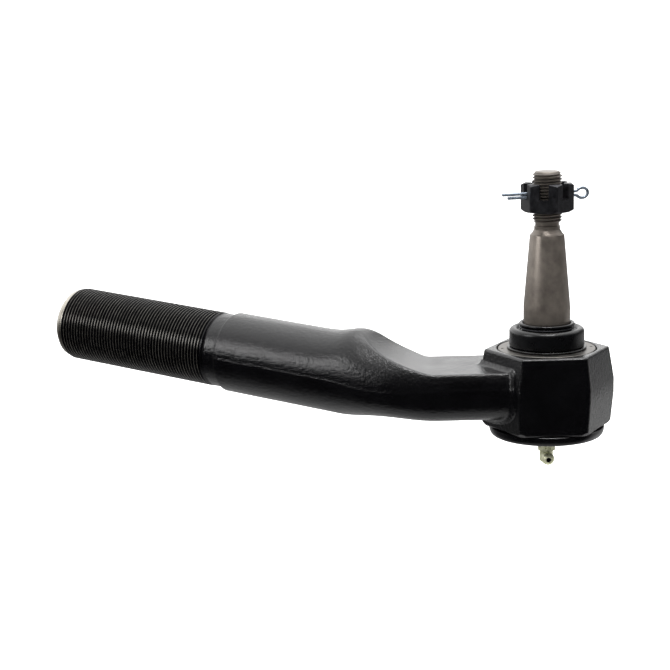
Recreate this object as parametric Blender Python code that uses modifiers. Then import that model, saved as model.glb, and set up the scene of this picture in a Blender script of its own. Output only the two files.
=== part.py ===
"""Tie rod end: a forged ball housing with a bent, threaded shank and a tapered ball stud.

The origin is the centre of the ball. +Z runs up the stud, and the neck leaves the housing
along -X, towards one corner of the hexagon. All pieces are separate objects.
"""
import math

import bmesh
import bpy
from mathutils import Matrix, Vector

MM = 0.001
GAP = 0.3 * MM
MERGE = 0.00001

# ---- ball, stud and socket ----
BALL_RADIUS = 16.0 * MM
BALL_FLAT_DEPTH = 2.4 * MM
TILT_LIMIT = math.radians(13.0)
STUD_NECK_RADIUS = 8.6 * MM
STUD_NECK_TOP = 25.0 * MM
STUD_FLARE_TOP = 29.5 * MM
STUD_COLLAR_RADIUS = 11.2 * MM
TAPER_START = 40.8 * MM
TAPER_LENGTH = 34.3 * MM
TAPER_HALF_ANGLE = math.radians(5.0)
STUD_THREAD_RADIUS = 7.0 * MM
UNDERCUT_RADIUS = 6.15 * MM
UNDERCUT_LENGTH = 2.6 * MM
STUD_THREAD_LENGTH = 25.4 * MM
STUD_CHAMFER = 1.4 * MM

# ---- housing ----
HOUSING_TOP = 20.2 * MM
HOUSING_BOTTOM = -17.7 * MM
CORNER_TOP = 30.4 * MM
CORNER_MIDDLE = 33.0 * MM
CORNER_BOTTOM = 31.4 * MM
BAND_TOP = 4.8 * MM
BAND_BOTTOM = -2.2 * MM
HOUSING_EDGE = 1.3 * MM
BOTTOM_TURN_RADIUS = 29.4 * MM
RECESS_RADIUS = 24.0 * MM
RECESS_DEPTH = 2.4 * MM

# ---- neck and shank ----
NECK_HALF_WIDTH = 24.0 * MM
NECK_TOP = 12.5 * MM
NECK_BOTTOM = -12.9 * MM
NECK_TOP_EDGE = 2.6 * MM
NECK_BOTTOM_EDGE = 12.0 * MM
RAMP_START = 54.0 * MM
RAMP_STEPS = 12
ROUNDING_LAG = 9.0 * MM
UNDERSIDE_RISE = 2.2 * MM
BEND_DISTANCE = 75.0 * MM
BEND_ANGLE = math.radians(30.4)
BEND_LEAD = 19.0 * MM
RAMP_END = 25.0 * MM
SHANK_RISE = math.radians(4.3)
SHANK_HEIGHT = 5.1 * MM
SHANK_RADIUS = 20.1 * MM
SHOULDER = 91.0 * MM
THREAD_START = 97.0 * MM
THREAD_TURNS = 50
THREAD_PITCH = 1.8 * MM
THREAD_RADIUS = 19.0 * MM
RELIEF_RADIUS = 18.7 * MM
END_CHAMFER_LENGTH = 5.8 * MM
END_CHAMFER_DEPTH = 3.2 * MM
END_BREAK_LENGTH = 2.3 * MM
END_BREAK_DEPTH = 1.1 * MM
SHANK_OVERLAP = 7.0 * MM

# ---- socket stack ----
RACE_SPLIT = 0.8 * MM
RACE_WALL = 3.2 * MM
ROOF_CLEARANCE = 0.1 * MM
UPPER_RACE_BOTTOM = -0.4 * MM
LOWER_RACE_LIFT = 4.4 * MM
SPRING_THICKNESS = 0.7 * MM
SPRING_CONE = 1.0 * MM
SPRING_INNER_RADIUS = 12.5 * MM
SHIM_THICKNESS = 0.5 * MM

# ---- end cover and grease fitting ----
COVER_RADIUS = 27.8 * MM
COVER_FLANGE = 3.6 * MM
COVER_EDGE = 1.5 * MM
COVER_DISH_RADIUS = 13.0 * MM
COVER_DISH_FLOOR = -17.2 * MM
O_RING_WIRE = 0.5 * MM
BOSS_RADIUS = 7.0 * MM
BOSS_HEIGHT = 4.0 * MM
FITTING_THREAD_RADIUS = 2.7 * MM
FITTING_THREAD_LENGTH = 6.0 * MM
FITTING_WASHER = 0.5 * MM
FITTING_HEX_FLATS = 8.0 * MM
FITTING_HEX_HEIGHT = 4.3 * MM
ELBOW_RADIUS = 3.3 * MM
ELBOW_DROP = 5.6 * MM
ELBOW_EDGE = 0.8 * MM
HEAD_REACH = 6.0 * MM
HEAD_RADIUS = 3.2 * MM
HEAD_MOUTH_RADIUS = 1.6 * MM
HEAD_NECK_RADIUS = 2.3 * MM
HEAD_RISE = 2.9 * MM
GREASE_BORE = 0.7 * MM
CHECK_BORE = 1.3 * MM
CHECK_BALL = 1.0 * MM
CHECK_SEAT = 0.4 * MM
CHECK_SPRING_LENGTH = 4.0 * MM
CHECK_SPRING_WIRE = 0.16 * MM
CHECK_SPRING_TURNS = 4
CHECK_SPRING_POINTS = 10

# ---- boot and top plate ----
PLATE_THICKNESS = 1.3 * MM
PLATE_BORE = 16.6 * MM
PLATE_SET_DOWN = 0.1 * MM
PLATE_SEAL = 0.4 * MM
SPANNER_HOLE_RADIUS = 0.7 * MM
SPANNER_CIRCLE = 21.4 * MM
BASE_RING_HALF_WIDTH = 1.1 * MM
BASE_RING_THICKNESS = 0.8 * MM
BOOT_RADIUS = 18.0 * MM
BOOT_WALL = 1.8 * MM
BOOT_HEIGHT = 8.9 * MM
BOOT_RIM_BORE = 14.4 * MM
COLLAR_BOTTOM = 29.4 * MM
COLLAR_TOP = 32.8 * MM
COLLAR_LIP = 13.4 * MM
COLLAR_GROOVE = 12.3 * MM
BAND_WIRE = 0.4 * MM

# ---- castle nut and cotter pin ----
NUT_FLATS = 22.0 * MM
NUT_SEAT_ABOVE_TAPER = 11.1 * MM
NUT_HEIGHT = 13.4 * MM
NUT_CHAMFER = 1.6 * MM
NUT_CHAMFER_ANGLE = math.radians(30.0)
NUT_SLOT_WIDTH = 4.4 * MM
NUT_SLOT_DEPTH = 7.4 * MM
NUT_TURN = math.radians(14.0)
PIN_WIRE = 0.68 * MM
PIN_LEG_SPREAD = 0.85 * MM
PIN_LONG_LEG = 22.5 * MM
PIN_SHORT_LEG = 19.8 * MM
PIN_EYE_CENTRE = 17.7 * MM
PIN_EYE_LENGTH = 2.9 * MM
PIN_EYE_HEIGHT = 2.4 * MM
PIN_HOLE_RADIUS = 2.0 * MM
PIN_EYE_OPENING = math.radians(60.0)
PIN_EYE_STEPS = 14

# ---- facets ----
LARGE_STEPS = 40
SMALL_STEPS = 32
TINY_STEPS = 16
EDGE_STEPS = 2

# ---- sizes that follow from the ones above ----
CONE_LIMIT = math.acos(math.cos(TILT_LIMIT) ** 2)
TAPER_TOP = TAPER_START + TAPER_LENGTH
TAPER_SMALL_RADIUS = STUD_COLLAR_RADIUS - TAPER_LENGTH * math.tan(TAPER_HALF_ANGLE)
UNDERCUT_BOTTOM = TAPER_TOP + TAPER_SMALL_RADIUS - UNDERCUT_RADIUS
STUD_THREAD_BOTTOM = UNDERCUT_BOTTOM + UNDERCUT_LENGTH
STUD_TOP = STUD_THREAD_BOTTOM + STUD_THREAD_LENGTH
NUT_BOTTOM = TAPER_TOP + NUT_SEAT_ABOVE_TAPER
NUT_TOP = NUT_BOTTOM + NUT_HEIGHT
PIN_HEIGHT = NUT_TOP - NUT_SLOT_DEPTH + GAP + PIN_WIRE + PIN_LEG_SPREAD
THREAD_END = THREAD_START + THREAD_TURNS * THREAD_PITCH
SHANK_END = THREAD_END + END_CHAMFER_LENGTH
BEND_RADIUS = BEND_LEAD / math.tan(BEND_ANGLE / 2)
BEND_START = BEND_DISTANCE - BEND_LEAD
RAMP_FINISH = BEND_START + BEND_RADIUS * BEND_ANGLE + RAMP_END - BEND_LEAD
NECK_FINISH = RAMP_FINISH + SHOULDER - RAMP_END
RECESS_FLOOR = HOUSING_TOP - RECESS_DEPTH
PLATE_TOP = HOUSING_TOP - PLATE_SET_DOWN
PLATE_RADIUS = RECESS_RADIUS - 2 * GAP
BALL_FLAT_Z = BALL_FLAT_DEPTH - BALL_RADIUS
SEAT_RADIUS = BALL_RADIUS + GAP
RACE_RADIUS = SEAT_RADIUS + RACE_WALL
SOCKET_RADIUS = RACE_RADIUS + GAP
LOWER_RACE_BOTTOM = LOWER_RACE_LIFT - BALL_RADIUS
LOWER_RACE_TOP = UPPER_RACE_BOTTOM - RACE_SPLIT
SPRING_TOP = LOWER_RACE_BOTTOM - GAP
SHIM_TOP = SPRING_TOP - SPRING_CONE - SPRING_THICKNESS - GAP
COVER_SPIGOT_TOP = SHIM_TOP - SHIM_THICKNESS - GAP
COVER_TOP = HOUSING_BOTTOM - GAP
COVER_BOTTOM = COVER_TOP - COVER_FLANGE
O_RING_Z = (COVER_SPIGOT_TOP + COVER_TOP) / 2
BOSS_BOTTOM = COVER_BOTTOM - BOSS_HEIGHT
COVER_BORE = FITTING_THREAD_RADIUS + GAP
HEX_TOP = BOSS_BOTTOM - FITTING_WASHER - 2 * GAP
HEX_BOTTOM = HEX_TOP - FITTING_HEX_HEIGHT
ELBOW_BOTTOM = HEX_BOTTOM - ELBOW_DROP
HEAD_Z = ELBOW_BOTTOM + HEAD_RISE
BASE_RING_BOTTOM = PLATE_TOP + GAP
BOOT_BOTTOM = BASE_RING_BOTTOM + BASE_RING_THICKNESS + GAP
BOOT_TOP = BOOT_BOTTOM + BOOT_HEIGHT
BASE_RING_RADIUS = BOOT_RADIUS + BASE_RING_HALF_WIDTH
BASE_RING_BORE = BOOT_RADIUS - BASE_RING_HALF_WIDTH
SHANK_AXIS = Vector((
    -math.cos(BEND_ANGLE) * math.cos(SHANK_RISE),
    math.sin(BEND_ANGLE) * math.cos(SHANK_RISE),
    math.sin(SHANK_RISE),
))
SHANK_ORIGIN = Vector((-BEND_DISTANCE, 0.0, SHANK_HEIGHT))


def clear_scene():
    for item in list(bpy.data.objects):
        bpy.data.objects.remove(item, do_unlink=True)


def new_collection(name):
    collection = bpy.data.collections.new(name)
    bpy.context.scene.collection.children.link(collection)
    return collection


def material(name, colour, roughness, metallic):
    made = bpy.data.materials.new(name)
    made.use_nodes = True
    shader = made.node_tree.nodes["Principled BSDF"]
    shader.inputs["Base Color"].default_value = (*colour, 1.0)
    shader.inputs["Roughness"].default_value = roughness
    shader.inputs["Metallic"].default_value = metallic
    return made


def add_object(name, mesh, collection, finish=None):
    made = bpy.data.objects.new(name, mesh)
    collection.objects.link(made)
    if finish is not None:
        mesh.materials.append(finish)
    mesh.shade_smooth()
    mesh.set_sharp_from_angle(angle=math.radians(35))
    return made


def turned(name, profile, collection, finish=None, steps=LARGE_STEPS, closed=False):
    """A Screw modifier turns the profile, listed down its outer side, about local Z."""
    mesh = bpy.data.meshes.new(name)
    count = len(profile)
    points = [(radius, 0.0, height) for radius, height in profile]
    edges = [(index, index + 1) for index in range(count - 1)]
    if closed:
        edges.append((count - 1, 0))
    mesh.from_pydata(points, edges, [])
    made = add_object(name, mesh, collection, finish)
    screw = made.modifiers.new("turn", "SCREW")
    screw.steps = steps
    screw.render_steps = steps
    screw.use_merge_vertices = True
    screw.merge_threshold = MERGE
    screw.use_smooth_shade = True
    return made


def ring(name, inner, outer, bottom, top, collection, finish, steps=SMALL_STEPS):
    profile = [(outer, top), (outer, bottom), (inner, bottom), (inner, top)]
    return turned(name, profile, collection, finish, steps, closed=True)


def torus(name, radius, wire, height, collection, finish, steps=SMALL_STEPS, sides=8):
    profile = []
    for index in range(sides):
        angle = -2 * math.pi * index / sides
        profile.append((radius + wire * math.cos(angle), height + wire * math.sin(angle)))
    return turned(name, profile, collection, finish, steps, closed=True)


def arc(centre, radius, start, end, count):
    """Points of an arc in the profile plane; angles in radians from the outward direction."""
    points = []
    for index in range(count + 1):
        angle = start + (end - start) * index / count
        points.append((centre[0] + radius * math.cos(angle), centre[1] + radius * math.sin(angle)))
    return points


def from_bmesh(name, shape, collection, finish=None):
    bmesh.ops.recalc_face_normals(shape, faces=shape.faces)
    mesh = bpy.data.meshes.new(name)
    shape.to_mesh(mesh)
    shape.free()
    return add_object(name, mesh, collection, finish)


def prism(name, sides, radius, bottom, top, turn, collection, finish=None):
    shape = bmesh.new()
    bmesh.ops.create_cone(
        shape, cap_ends=True, segments=sides, radius1=radius, radius2=radius, depth=top - bottom,
        matrix=Matrix.Translation((0, 0, (top + bottom) / 2)) @ Matrix.Rotation(turn, 4, "Z"),
    )
    return from_bmesh(name, shape, collection, finish)


def box(name, size, centre, turn, collection):
    shape = bmesh.new()
    bmesh.ops.create_cube(shape, size=1.0, matrix=Matrix.Diagonal((*size, 1.0)))
    made = from_bmesh(name, shape, collection)
    made.location = centre
    made.rotation_euler = (0, 0, turn)
    return made


def loft(name, rings, collection, finish=None):
    """Skin a row of equal-length rings and close both ends."""
    shape = bmesh.new()
    rows = [[shape.verts.new(point) for point in points] for points in rings]
    for row, following in zip(rows, rows[1:]):
        for index in range(len(row)):
            after = (index + 1) % len(row)
            shape.faces.new((row[index], row[after], following[after], following[index]))
    shape.faces.new(rows[0])
    shape.faces.new(rows[-1])
    return from_bmesh(name, shape, collection, finish)


def boolean(target, tool, operation):
    tool.hide_render = True
    tool.display_type = "WIRE"
    step = target.modifiers.new(tool.name, "BOOLEAN")
    step.operation = operation
    step.solver = "EXACT"
    step.object = tool


def bevel(target, width, angle):
    step = target.modifiers.new("edges", "BEVEL")
    step.width = width
    step.segments = EDGE_STEPS
    step.limit_method = "ANGLE"
    step.angle_limit = angle


def wire(name, points, radius, resolution, collection, finish):
    """A round bar through the points, with closed ends."""
    data = bpy.data.curves.new(name, "CURVE")
    data.dimensions = "3D"
    data.bevel_depth = radius
    data.bevel_resolution = resolution
    data.use_fill_caps = True
    line = data.splines.new("POLY")
    line.points.add(len(points) - 1)
    for point, place in zip(line.points, points):
        point.co = (*place, 1.0)
    data.materials.append(finish)
    made = bpy.data.objects.new(name, data)
    collection.objects.link(made)
    return made


def aim(item, location, axis):
    """Place a turned object with its local Z along axis."""
    item.location = location
    item.rotation_mode = "QUATERNION"
    item.rotation_quaternion = Vector((0, 0, 1)).rotation_difference(axis)


# ---- forged body ----

def hexagon_ring(corner, height):
    points = []
    for index in range(6):
        angle = math.pi * index / 3
        points.append((corner * math.cos(angle), corner * math.sin(angle), height))
    return points


def smooth_step(share):
    share = min(max(share, 0.0), 1.0)
    return share * share * (3 - 2 * share)


def neck_section(half_width, half_height, rounding):
    """Offsets (across, up) of one section, from the flat neck's, at 0, to the round shank's, at 1."""
    quarter = LARGE_STEPS // 4
    points = []
    for corner in range(4):
        across = 1 if corner in (0, 3) else -1
        up = 1 if corner in (0, 1) else -1
        edge = NECK_TOP_EDGE if up > 0 else NECK_BOTTOM_EDGE
        for index in range(quarter + 1):
            angle = math.pi / 2 * (corner + index / quarter)
            flat = Vector((
                across * (half_width - edge) + edge * math.cos(angle),
                up * (half_height - edge) + edge * math.sin(angle),
            ))
            oval = Vector((half_width * math.cos(angle), half_height * math.sin(angle)))
            points.append(flat.lerp(oval, rounding))
    return points


def route_point(distance):
    """Plan position and heading along the neck, round the bend and along the shank."""
    heading = min(max((distance - BEND_START) / BEND_RADIUS, 0.0), BEND_ANGLE)
    before = min(distance, BEND_START)
    after = max(distance - BEND_START - BEND_RADIUS * BEND_ANGLE, 0.0)
    x = -before - BEND_RADIUS * math.sin(heading) - after * math.cos(heading)
    y = BEND_RADIUS * (1 - math.cos(heading)) + after * math.sin(heading)
    return x, y, heading


def shank_height_at(x, y):
    along = (x + BEND_DISTANCE) * -math.cos(BEND_ANGLE) + y * math.sin(BEND_ANGLE)
    return SHANK_HEIGHT + along * math.tan(SHANK_RISE)


def mix(first, second, share):
    return first + (second - first) * share


def neck_rings():
    stations = [0.0, RAMP_START / 2]
    for index in range(RAMP_STEPS + 1):
        stations.append(mix(RAMP_START, RAMP_FINISH, index / RAMP_STEPS))
    stations.append(NECK_FINISH)
    rings = []
    for distance in stations:
        x, y, heading = route_point(distance)
        ramp = smooth_step((distance - RAMP_START) / (RAMP_FINISH - RAMP_START))
        late = distance - RAMP_START - ROUNDING_LAG
        rounding = smooth_step(late / (RAMP_FINISH - RAMP_START - ROUNDING_LAG))
        height = shank_height_at(x, y)
        top = mix(NECK_TOP, height + SHANK_RADIUS, ramp)
        hollow = 4 * UNDERSIDE_RISE * ramp * (1 - ramp)
        bottom = mix(NECK_BOTTOM, height - SHANK_RADIUS, ramp) + hollow
        half_width = mix(NECK_HALF_WIDTH, SHANK_RADIUS, ramp)
        points = []
        for across, up in neck_section(half_width, (top - bottom) / 2, rounding):
            lean = up * math.tan(SHANK_RISE) * ramp
            px = x + across * math.sin(heading) + lean * math.cos(heading)
            py = y + across * math.cos(heading) - lean * math.sin(heading)
            points.append((px, py, (top + bottom) / 2 + up))
        rings.append(points)
    return rings


def throat_radius(height):
    """Radius that the stud's neck needs at this height when it leans to its limit."""
    lean = STUD_NECK_RADIUS / math.cos(CONE_LIMIT) + height * math.tan(CONE_LIMIT)
    return lean + 2 * GAP


def roof_height():
    """Height at which the ball, with its clearance, is as wide as the throat."""
    reach = BALL_RADIUS + ROOF_CLEARANCE
    base, slope = throat_radius(0.0), math.tan(CONE_LIMIT)
    spread = 1 + slope ** 2
    root = (base * slope) ** 2 - spread * (base ** 2 - reach ** 2)
    return (math.sqrt(root) - base * slope) / spread


def make_forged_body(parts, cutters, finish):
    levels = [
        (CORNER_BOTTOM, HOUSING_BOTTOM), (CORNER_MIDDLE, BAND_BOTTOM),
        (CORNER_MIDDLE, BAND_TOP), (CORNER_TOP, HOUSING_TOP),
    ]
    body = loft("forged_body", [hexagon_ring(*level) for level in levels], parts, finish)
    bevel(body, HOUSING_EDGE, math.radians(40))
    outside = CORNER_MIDDLE + HOUSING_EDGE
    corner_cut = turned(
        "corner_cut",
        [
            (outside, HOUSING_BOTTOM + outside - BOTTOM_TURN_RADIUS),
            (outside, HOUSING_BOTTOM - HOUSING_EDGE),
            (BOTTOM_TURN_RADIUS - HOUSING_EDGE, HOUSING_BOTTOM - HOUSING_EDGE),
        ],
        cutters, closed=True,
    )
    boolean(body, corner_cut, "DIFFERENCE")
    neck = loft("neck_form", neck_rings(), cutters)
    boolean(body, neck, "UNION")
    shank = turned(
        "shank_form",
        [
            (0.0, SHANK_END),
            (THREAD_RADIUS - END_CHAMFER_DEPTH, SHANK_END),
            (THREAD_RADIUS - END_BREAK_DEPTH, SHANK_END - END_BREAK_LENGTH),
            (THREAD_RADIUS, THREAD_END),
            (THREAD_RADIUS, THREAD_START),
            (RELIEF_RADIUS, THREAD_START - THREAD_PITCH / 2),
            (RELIEF_RADIUS, SHOULDER - SHANK_OVERLAP),
            (0.0, SHOULDER - SHANK_OVERLAP),
        ],
        cutters,
    )
    aim(shank, SHANK_ORIGIN, SHANK_AXIS)
    boolean(body, shank, "UNION")
    roof = roof_height()
    above = HOUSING_TOP + RECESS_DEPTH
    below = HOUSING_BOTTOM - RECESS_DEPTH
    socket = turned(
        "socket_cut",
        [
            (0.0, above), (RECESS_RADIUS, above), (RECESS_RADIUS, RECESS_FLOOR),
            (throat_radius(RECESS_FLOOR), RECESS_FLOOR), (throat_radius(roof), roof),
            (SOCKET_RADIUS, roof), (SOCKET_RADIUS, below), (0.0, below),
        ],
        cutters,
    )
    boolean(body, socket, "DIFFERENCE")


# ---- socket stack ----

def sphere_line(radius, start, end, count):
    """Profile points on a sphere about the ball's centre, between two heights."""
    first = math.asin(start / radius)
    last = math.asin(end / radius)
    return arc((0.0, 0.0), radius, first, last, count)


def make_socket_stack(parts, steel, polymer, rubber):
    upper_top = roof_height() - GAP
    turned(
        "upper_race",
        [(RACE_RADIUS, upper_top), (RACE_RADIUS, UPPER_RACE_BOTTOM)]
        + sphere_line(SEAT_RADIUS, UPPER_RACE_BOTTOM, upper_top, 5),
        parts, polymer, closed=True,
    )
    turned(
        "lower_race",
        [(RACE_RADIUS, LOWER_RACE_TOP), (RACE_RADIUS, LOWER_RACE_BOTTOM)]
        + sphere_line(SEAT_RADIUS, LOWER_RACE_BOTTOM, LOWER_RACE_TOP, 6),
        parts, polymer, closed=True,
    )
    outer = RACE_RADIUS - 2 * GAP
    turned(
        "preload_spring",
        [
            (outer, SPRING_TOP - SPRING_CONE),
            (outer, SPRING_TOP - SPRING_CONE - SPRING_THICKNESS),
            (SPRING_INNER_RADIUS, SPRING_TOP - SPRING_THICKNESS),
            (SPRING_INNER_RADIUS, SPRING_TOP),
        ],
        parts, steel, SMALL_STEPS, closed=True,
    )
    shim_bottom = SHIM_TOP - SHIM_THICKNESS
    ring("spring_shim", SPRING_INNER_RADIUS, RACE_RADIUS - GAP, shim_bottom, SHIM_TOP, parts, steel)
    groove_floor = RACE_RADIUS - 2 * O_RING_WIRE - 2 * GAP
    groove_half = O_RING_WIRE + GAP
    dish = COVER_DISH_RADIUS - (COVER_SPIGOT_TOP - COVER_DISH_FLOOR)
    edge_centre = (COVER_RADIUS - COVER_EDGE, COVER_BOTTOM + COVER_EDGE)
    turned(
        "end_cover",
        [
            (RACE_RADIUS, COVER_SPIGOT_TOP),
            (RACE_RADIUS, O_RING_Z + groove_half), (groove_floor, O_RING_Z + groove_half),
            (groove_floor, O_RING_Z - groove_half), (RACE_RADIUS, O_RING_Z - groove_half),
            (RACE_RADIUS, COVER_TOP), (COVER_RADIUS, COVER_TOP),
        ]
        + arc(edge_centre, COVER_EDGE, 0, -math.pi / 2, EDGE_STEPS + 1)
        + [
            (BOSS_RADIUS, COVER_BOTTOM), (BOSS_RADIUS, BOSS_BOTTOM), (COVER_BORE, BOSS_BOTTOM),
            (COVER_BORE, COVER_DISH_FLOOR), (dish, COVER_DISH_FLOOR),
            (COVER_DISH_RADIUS, COVER_SPIGOT_TOP),
        ],
        parts, steel, closed=True,
    )
    o_ring_radius = groove_floor + GAP + O_RING_WIRE
    torus("cover_o_ring", o_ring_radius, O_RING_WIRE, O_RING_Z, parts, rubber)


# ---- grease fitting ----

def make_grease_fitting(parts, cutters, zinc, steel):
    thread_top = HEX_TOP + FITTING_THREAD_LENGTH
    body = turned(
        "grease_fitting",
        [
            (0.0, thread_top), (FITTING_THREAD_RADIUS, thread_top),
            (FITTING_THREAD_RADIUS, HEX_BOTTOM + GAP), (ELBOW_RADIUS, HEX_BOTTOM + GAP),
            (ELBOW_RADIUS, ELBOW_BOTTOM + ELBOW_EDGE),
            (ELBOW_RADIUS - ELBOW_EDGE, ELBOW_BOTTOM), (0.0, ELBOW_BOTTOM),
        ],
        parts, zinc, TINY_STEPS,
    )
    corner = FITTING_HEX_FLATS / 2 / math.cos(math.pi / 6)
    hexagon = prism("fitting_hex", 6, corner, HEX_BOTTOM, HEX_TOP, 0.0, cutters)
    boolean(body, hexagon, "UNION")
    # The head points along -Y; its profile is listed from the mouth back to the elbow.
    mouth = HEAD_REACH + math.sqrt(HEAD_RADIUS ** 2 - HEAD_MOUTH_RADIUS ** 2)
    mouth_angle = math.acos(HEAD_MOUTH_RADIUS / HEAD_RADIUS)
    profile = [(0.0, mouth)]
    profile += arc((0.0, HEAD_REACH), HEAD_RADIUS, mouth_angle, -math.pi / 4, 6)
    profile += [(HEAD_NECK_RADIUS, HEAD_REACH - HEAD_RADIUS), (HEAD_NECK_RADIUS, 0.0), (0.0, 0.0)]
    head = turned("fitting_head", profile, cutters, steps=TINY_STEPS)
    aim(head, Vector((0, 0, HEAD_Z)), Vector((0, -1, 0)))
    boolean(body, head, "UNION")
    seat = mouth - CHECK_BALL - CHECK_SEAT
    chamber = turned(
        "fitting_bore",
        [
            (0.0, mouth + GAP), (GREASE_BORE, mouth + GAP), (GREASE_BORE, seat + CHECK_SEAT),
            (CHECK_BORE, seat), (CHECK_BORE, -CHECK_BORE), (0.0, -CHECK_BORE),
        ],
        cutters, steps=TINY_STEPS,
    )
    aim(chamber, Vector((0, 0, HEAD_Z)), Vector((0, -1, 0)))
    boolean(body, chamber, "DIFFERENCE")
    riser = turned(
        "fitting_riser",
        [
            (0.0, thread_top + GAP), (GREASE_BORE, thread_top + GAP),
            (GREASE_BORE, HEAD_Z), (0.0, HEAD_Z),
        ],
        cutters, steps=TINY_STEPS,
    )
    boolean(body, riser, "DIFFERENCE")
    washer_top = BOSS_BOTTOM - GAP
    washer_bottom = washer_top - FITTING_WASHER
    ring("fitting_washer", COVER_BORE, corner, washer_bottom, washer_top, parts, steel, TINY_STEPS)
    ball_reach = seat - CHECK_BALL - GAP
    shape = bmesh.new()
    bmesh.ops.create_uvsphere(shape, u_segments=12, v_segments=8, radius=CHECK_BALL)
    ball = from_bmesh("fitting_check_ball", shape, parts, steel)
    ball.location = (0, -ball_reach, HEAD_Z)
    make_check_spring(parts, steel, ball_reach - CHECK_BALL - GAP - CHECK_SPRING_WIRE)


def make_check_spring(parts, steel, start):
    count = CHECK_SPRING_POINTS * CHECK_SPRING_TURNS
    radius = CHECK_BORE - GAP - CHECK_SPRING_WIRE
    points = []
    for index in range(count + 1):
        angle = 2 * math.pi * index / CHECK_SPRING_POINTS
        along = start - CHECK_SPRING_LENGTH * index / count
        points.append((radius * math.cos(angle), -along, HEAD_Z + radius * math.sin(angle)))
    wire("fitting_check_spring", points, CHECK_SPRING_WIRE, 0, parts, steel)


# ---- boot and top plate ----

def make_top_plate(parts, cutters, steel, plate_steel, rubber):
    seal_bottom = RECESS_FLOOR + GAP
    ring("plate_seal", PLATE_BORE, PLATE_RADIUS, seal_bottom, seal_bottom + PLATE_SEAL, parts, rubber)
    plate_bottom = PLATE_TOP - PLATE_THICKNESS
    plate = ring(
        "retaining_plate", PLATE_BORE, PLATE_RADIUS, plate_bottom, PLATE_TOP,
        parts, plate_steel, LARGE_STEPS,
    )
    for index, side in enumerate((1, -1)):
        hole = prism(
            "spanner_hole_%d" % index, TINY_STEPS, SPANNER_HOLE_RADIUS,
            (plate_bottom + PLATE_TOP) / 2, PLATE_TOP + GAP, 0.0, cutters,
        )
        hole.location = (side * SPANNER_CIRCLE, 0, 0)
        boolean(plate, hole, "DIFFERENCE")
    ring(
        "boot_base_ring", BASE_RING_BORE, BASE_RING_RADIUS, BASE_RING_BOTTOM,
        BASE_RING_BOTTOM + BASE_RING_THICKNESS, parts, steel,
    )


def make_boot(parts, steel, rubber):
    rim = (BOOT_RADIUS - BOOT_RIM_BORE) / 2
    inner = BOOT_RADIUS - BOOT_WALL
    skirt = turned(
        "boot_skirt",
        arc((BOOT_RIM_BORE + rim, BOOT_TOP - rim), rim, math.radians(150), 0, 6)
        + [
            (BOOT_RADIUS, BOOT_BOTTOM), (inner, BOOT_BOTTOM),
            (inner, BOOT_TOP - rim - BOOT_WALL / 2), (BOOT_RIM_BORE, BOOT_TOP - rim),
        ],
        parts, rubber, SMALL_STEPS, closed=True,
    )
    bore = STUD_COLLAR_RADIUS + GAP
    lip = COLLAR_LIP - COLLAR_GROOVE
    band_z = COLLAR_BOTTOM + 2 * GAP + BAND_WIRE
    collar = turned(
        "boot_collar",
        [
            (bore, COLLAR_TOP - lip / 2), (COLLAR_LIP - lip / 2, COLLAR_TOP),
            (COLLAR_LIP, COLLAR_TOP - lip / 2), (COLLAR_LIP, COLLAR_TOP - lip),
            (COLLAR_GROOVE, band_z + BAND_WIRE + GAP), (COLLAR_GROOVE, COLLAR_BOTTOM),
            (bore, COLLAR_BOTTOM),
        ],
        parts, rubber, SMALL_STEPS, closed=True,
    )
    band_radius = COLLAR_GROOVE + GAP + BAND_WIRE
    band = torus("boot_top_band", band_radius, BAND_WIRE, band_z, parts, steel)
    return [skirt, collar, band]


# ---- ball stud, nut and pin ----

def make_ball_stud(parts, cutters, finish):
    ball_top = math.sqrt(BALL_RADIUS ** 2 - STUD_NECK_RADIUS ** 2)
    profile = [
        (0.0, STUD_TOP), (STUD_THREAD_RADIUS - STUD_CHAMFER, STUD_TOP),
        (STUD_THREAD_RADIUS, STUD_TOP - STUD_CHAMFER),
        (STUD_THREAD_RADIUS, STUD_THREAD_BOTTOM),
        (UNDERCUT_RADIUS, STUD_THREAD_BOTTOM - (STUD_THREAD_RADIUS - UNDERCUT_RADIUS)),
        (UNDERCUT_RADIUS, UNDERCUT_BOTTOM),
        (TAPER_SMALL_RADIUS, TAPER_TOP),
        (STUD_COLLAR_RADIUS, TAPER_START),
        (STUD_COLLAR_RADIUS, STUD_FLARE_TOP),
        (STUD_NECK_RADIUS, STUD_NECK_TOP),
    ]
    profile += sphere_line(BALL_RADIUS, ball_top, BALL_FLAT_Z, 12)
    profile.append((0.0, BALL_FLAT_Z))
    stud = turned("ball_stud", profile, parts, finish)
    reach = STUD_THREAD_RADIUS + PIN_HOLE_RADIUS
    hole = prism("pin_hole", TINY_STEPS, PIN_HOLE_RADIUS, -reach, reach, 0.0, cutters)
    aim(hole, Vector((0, 0, PIN_HEIGHT)), Vector((math.cos(NUT_TURN), math.sin(NUT_TURN), 0)))
    boolean(stud, hole, "DIFFERENCE")
    return stud


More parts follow.
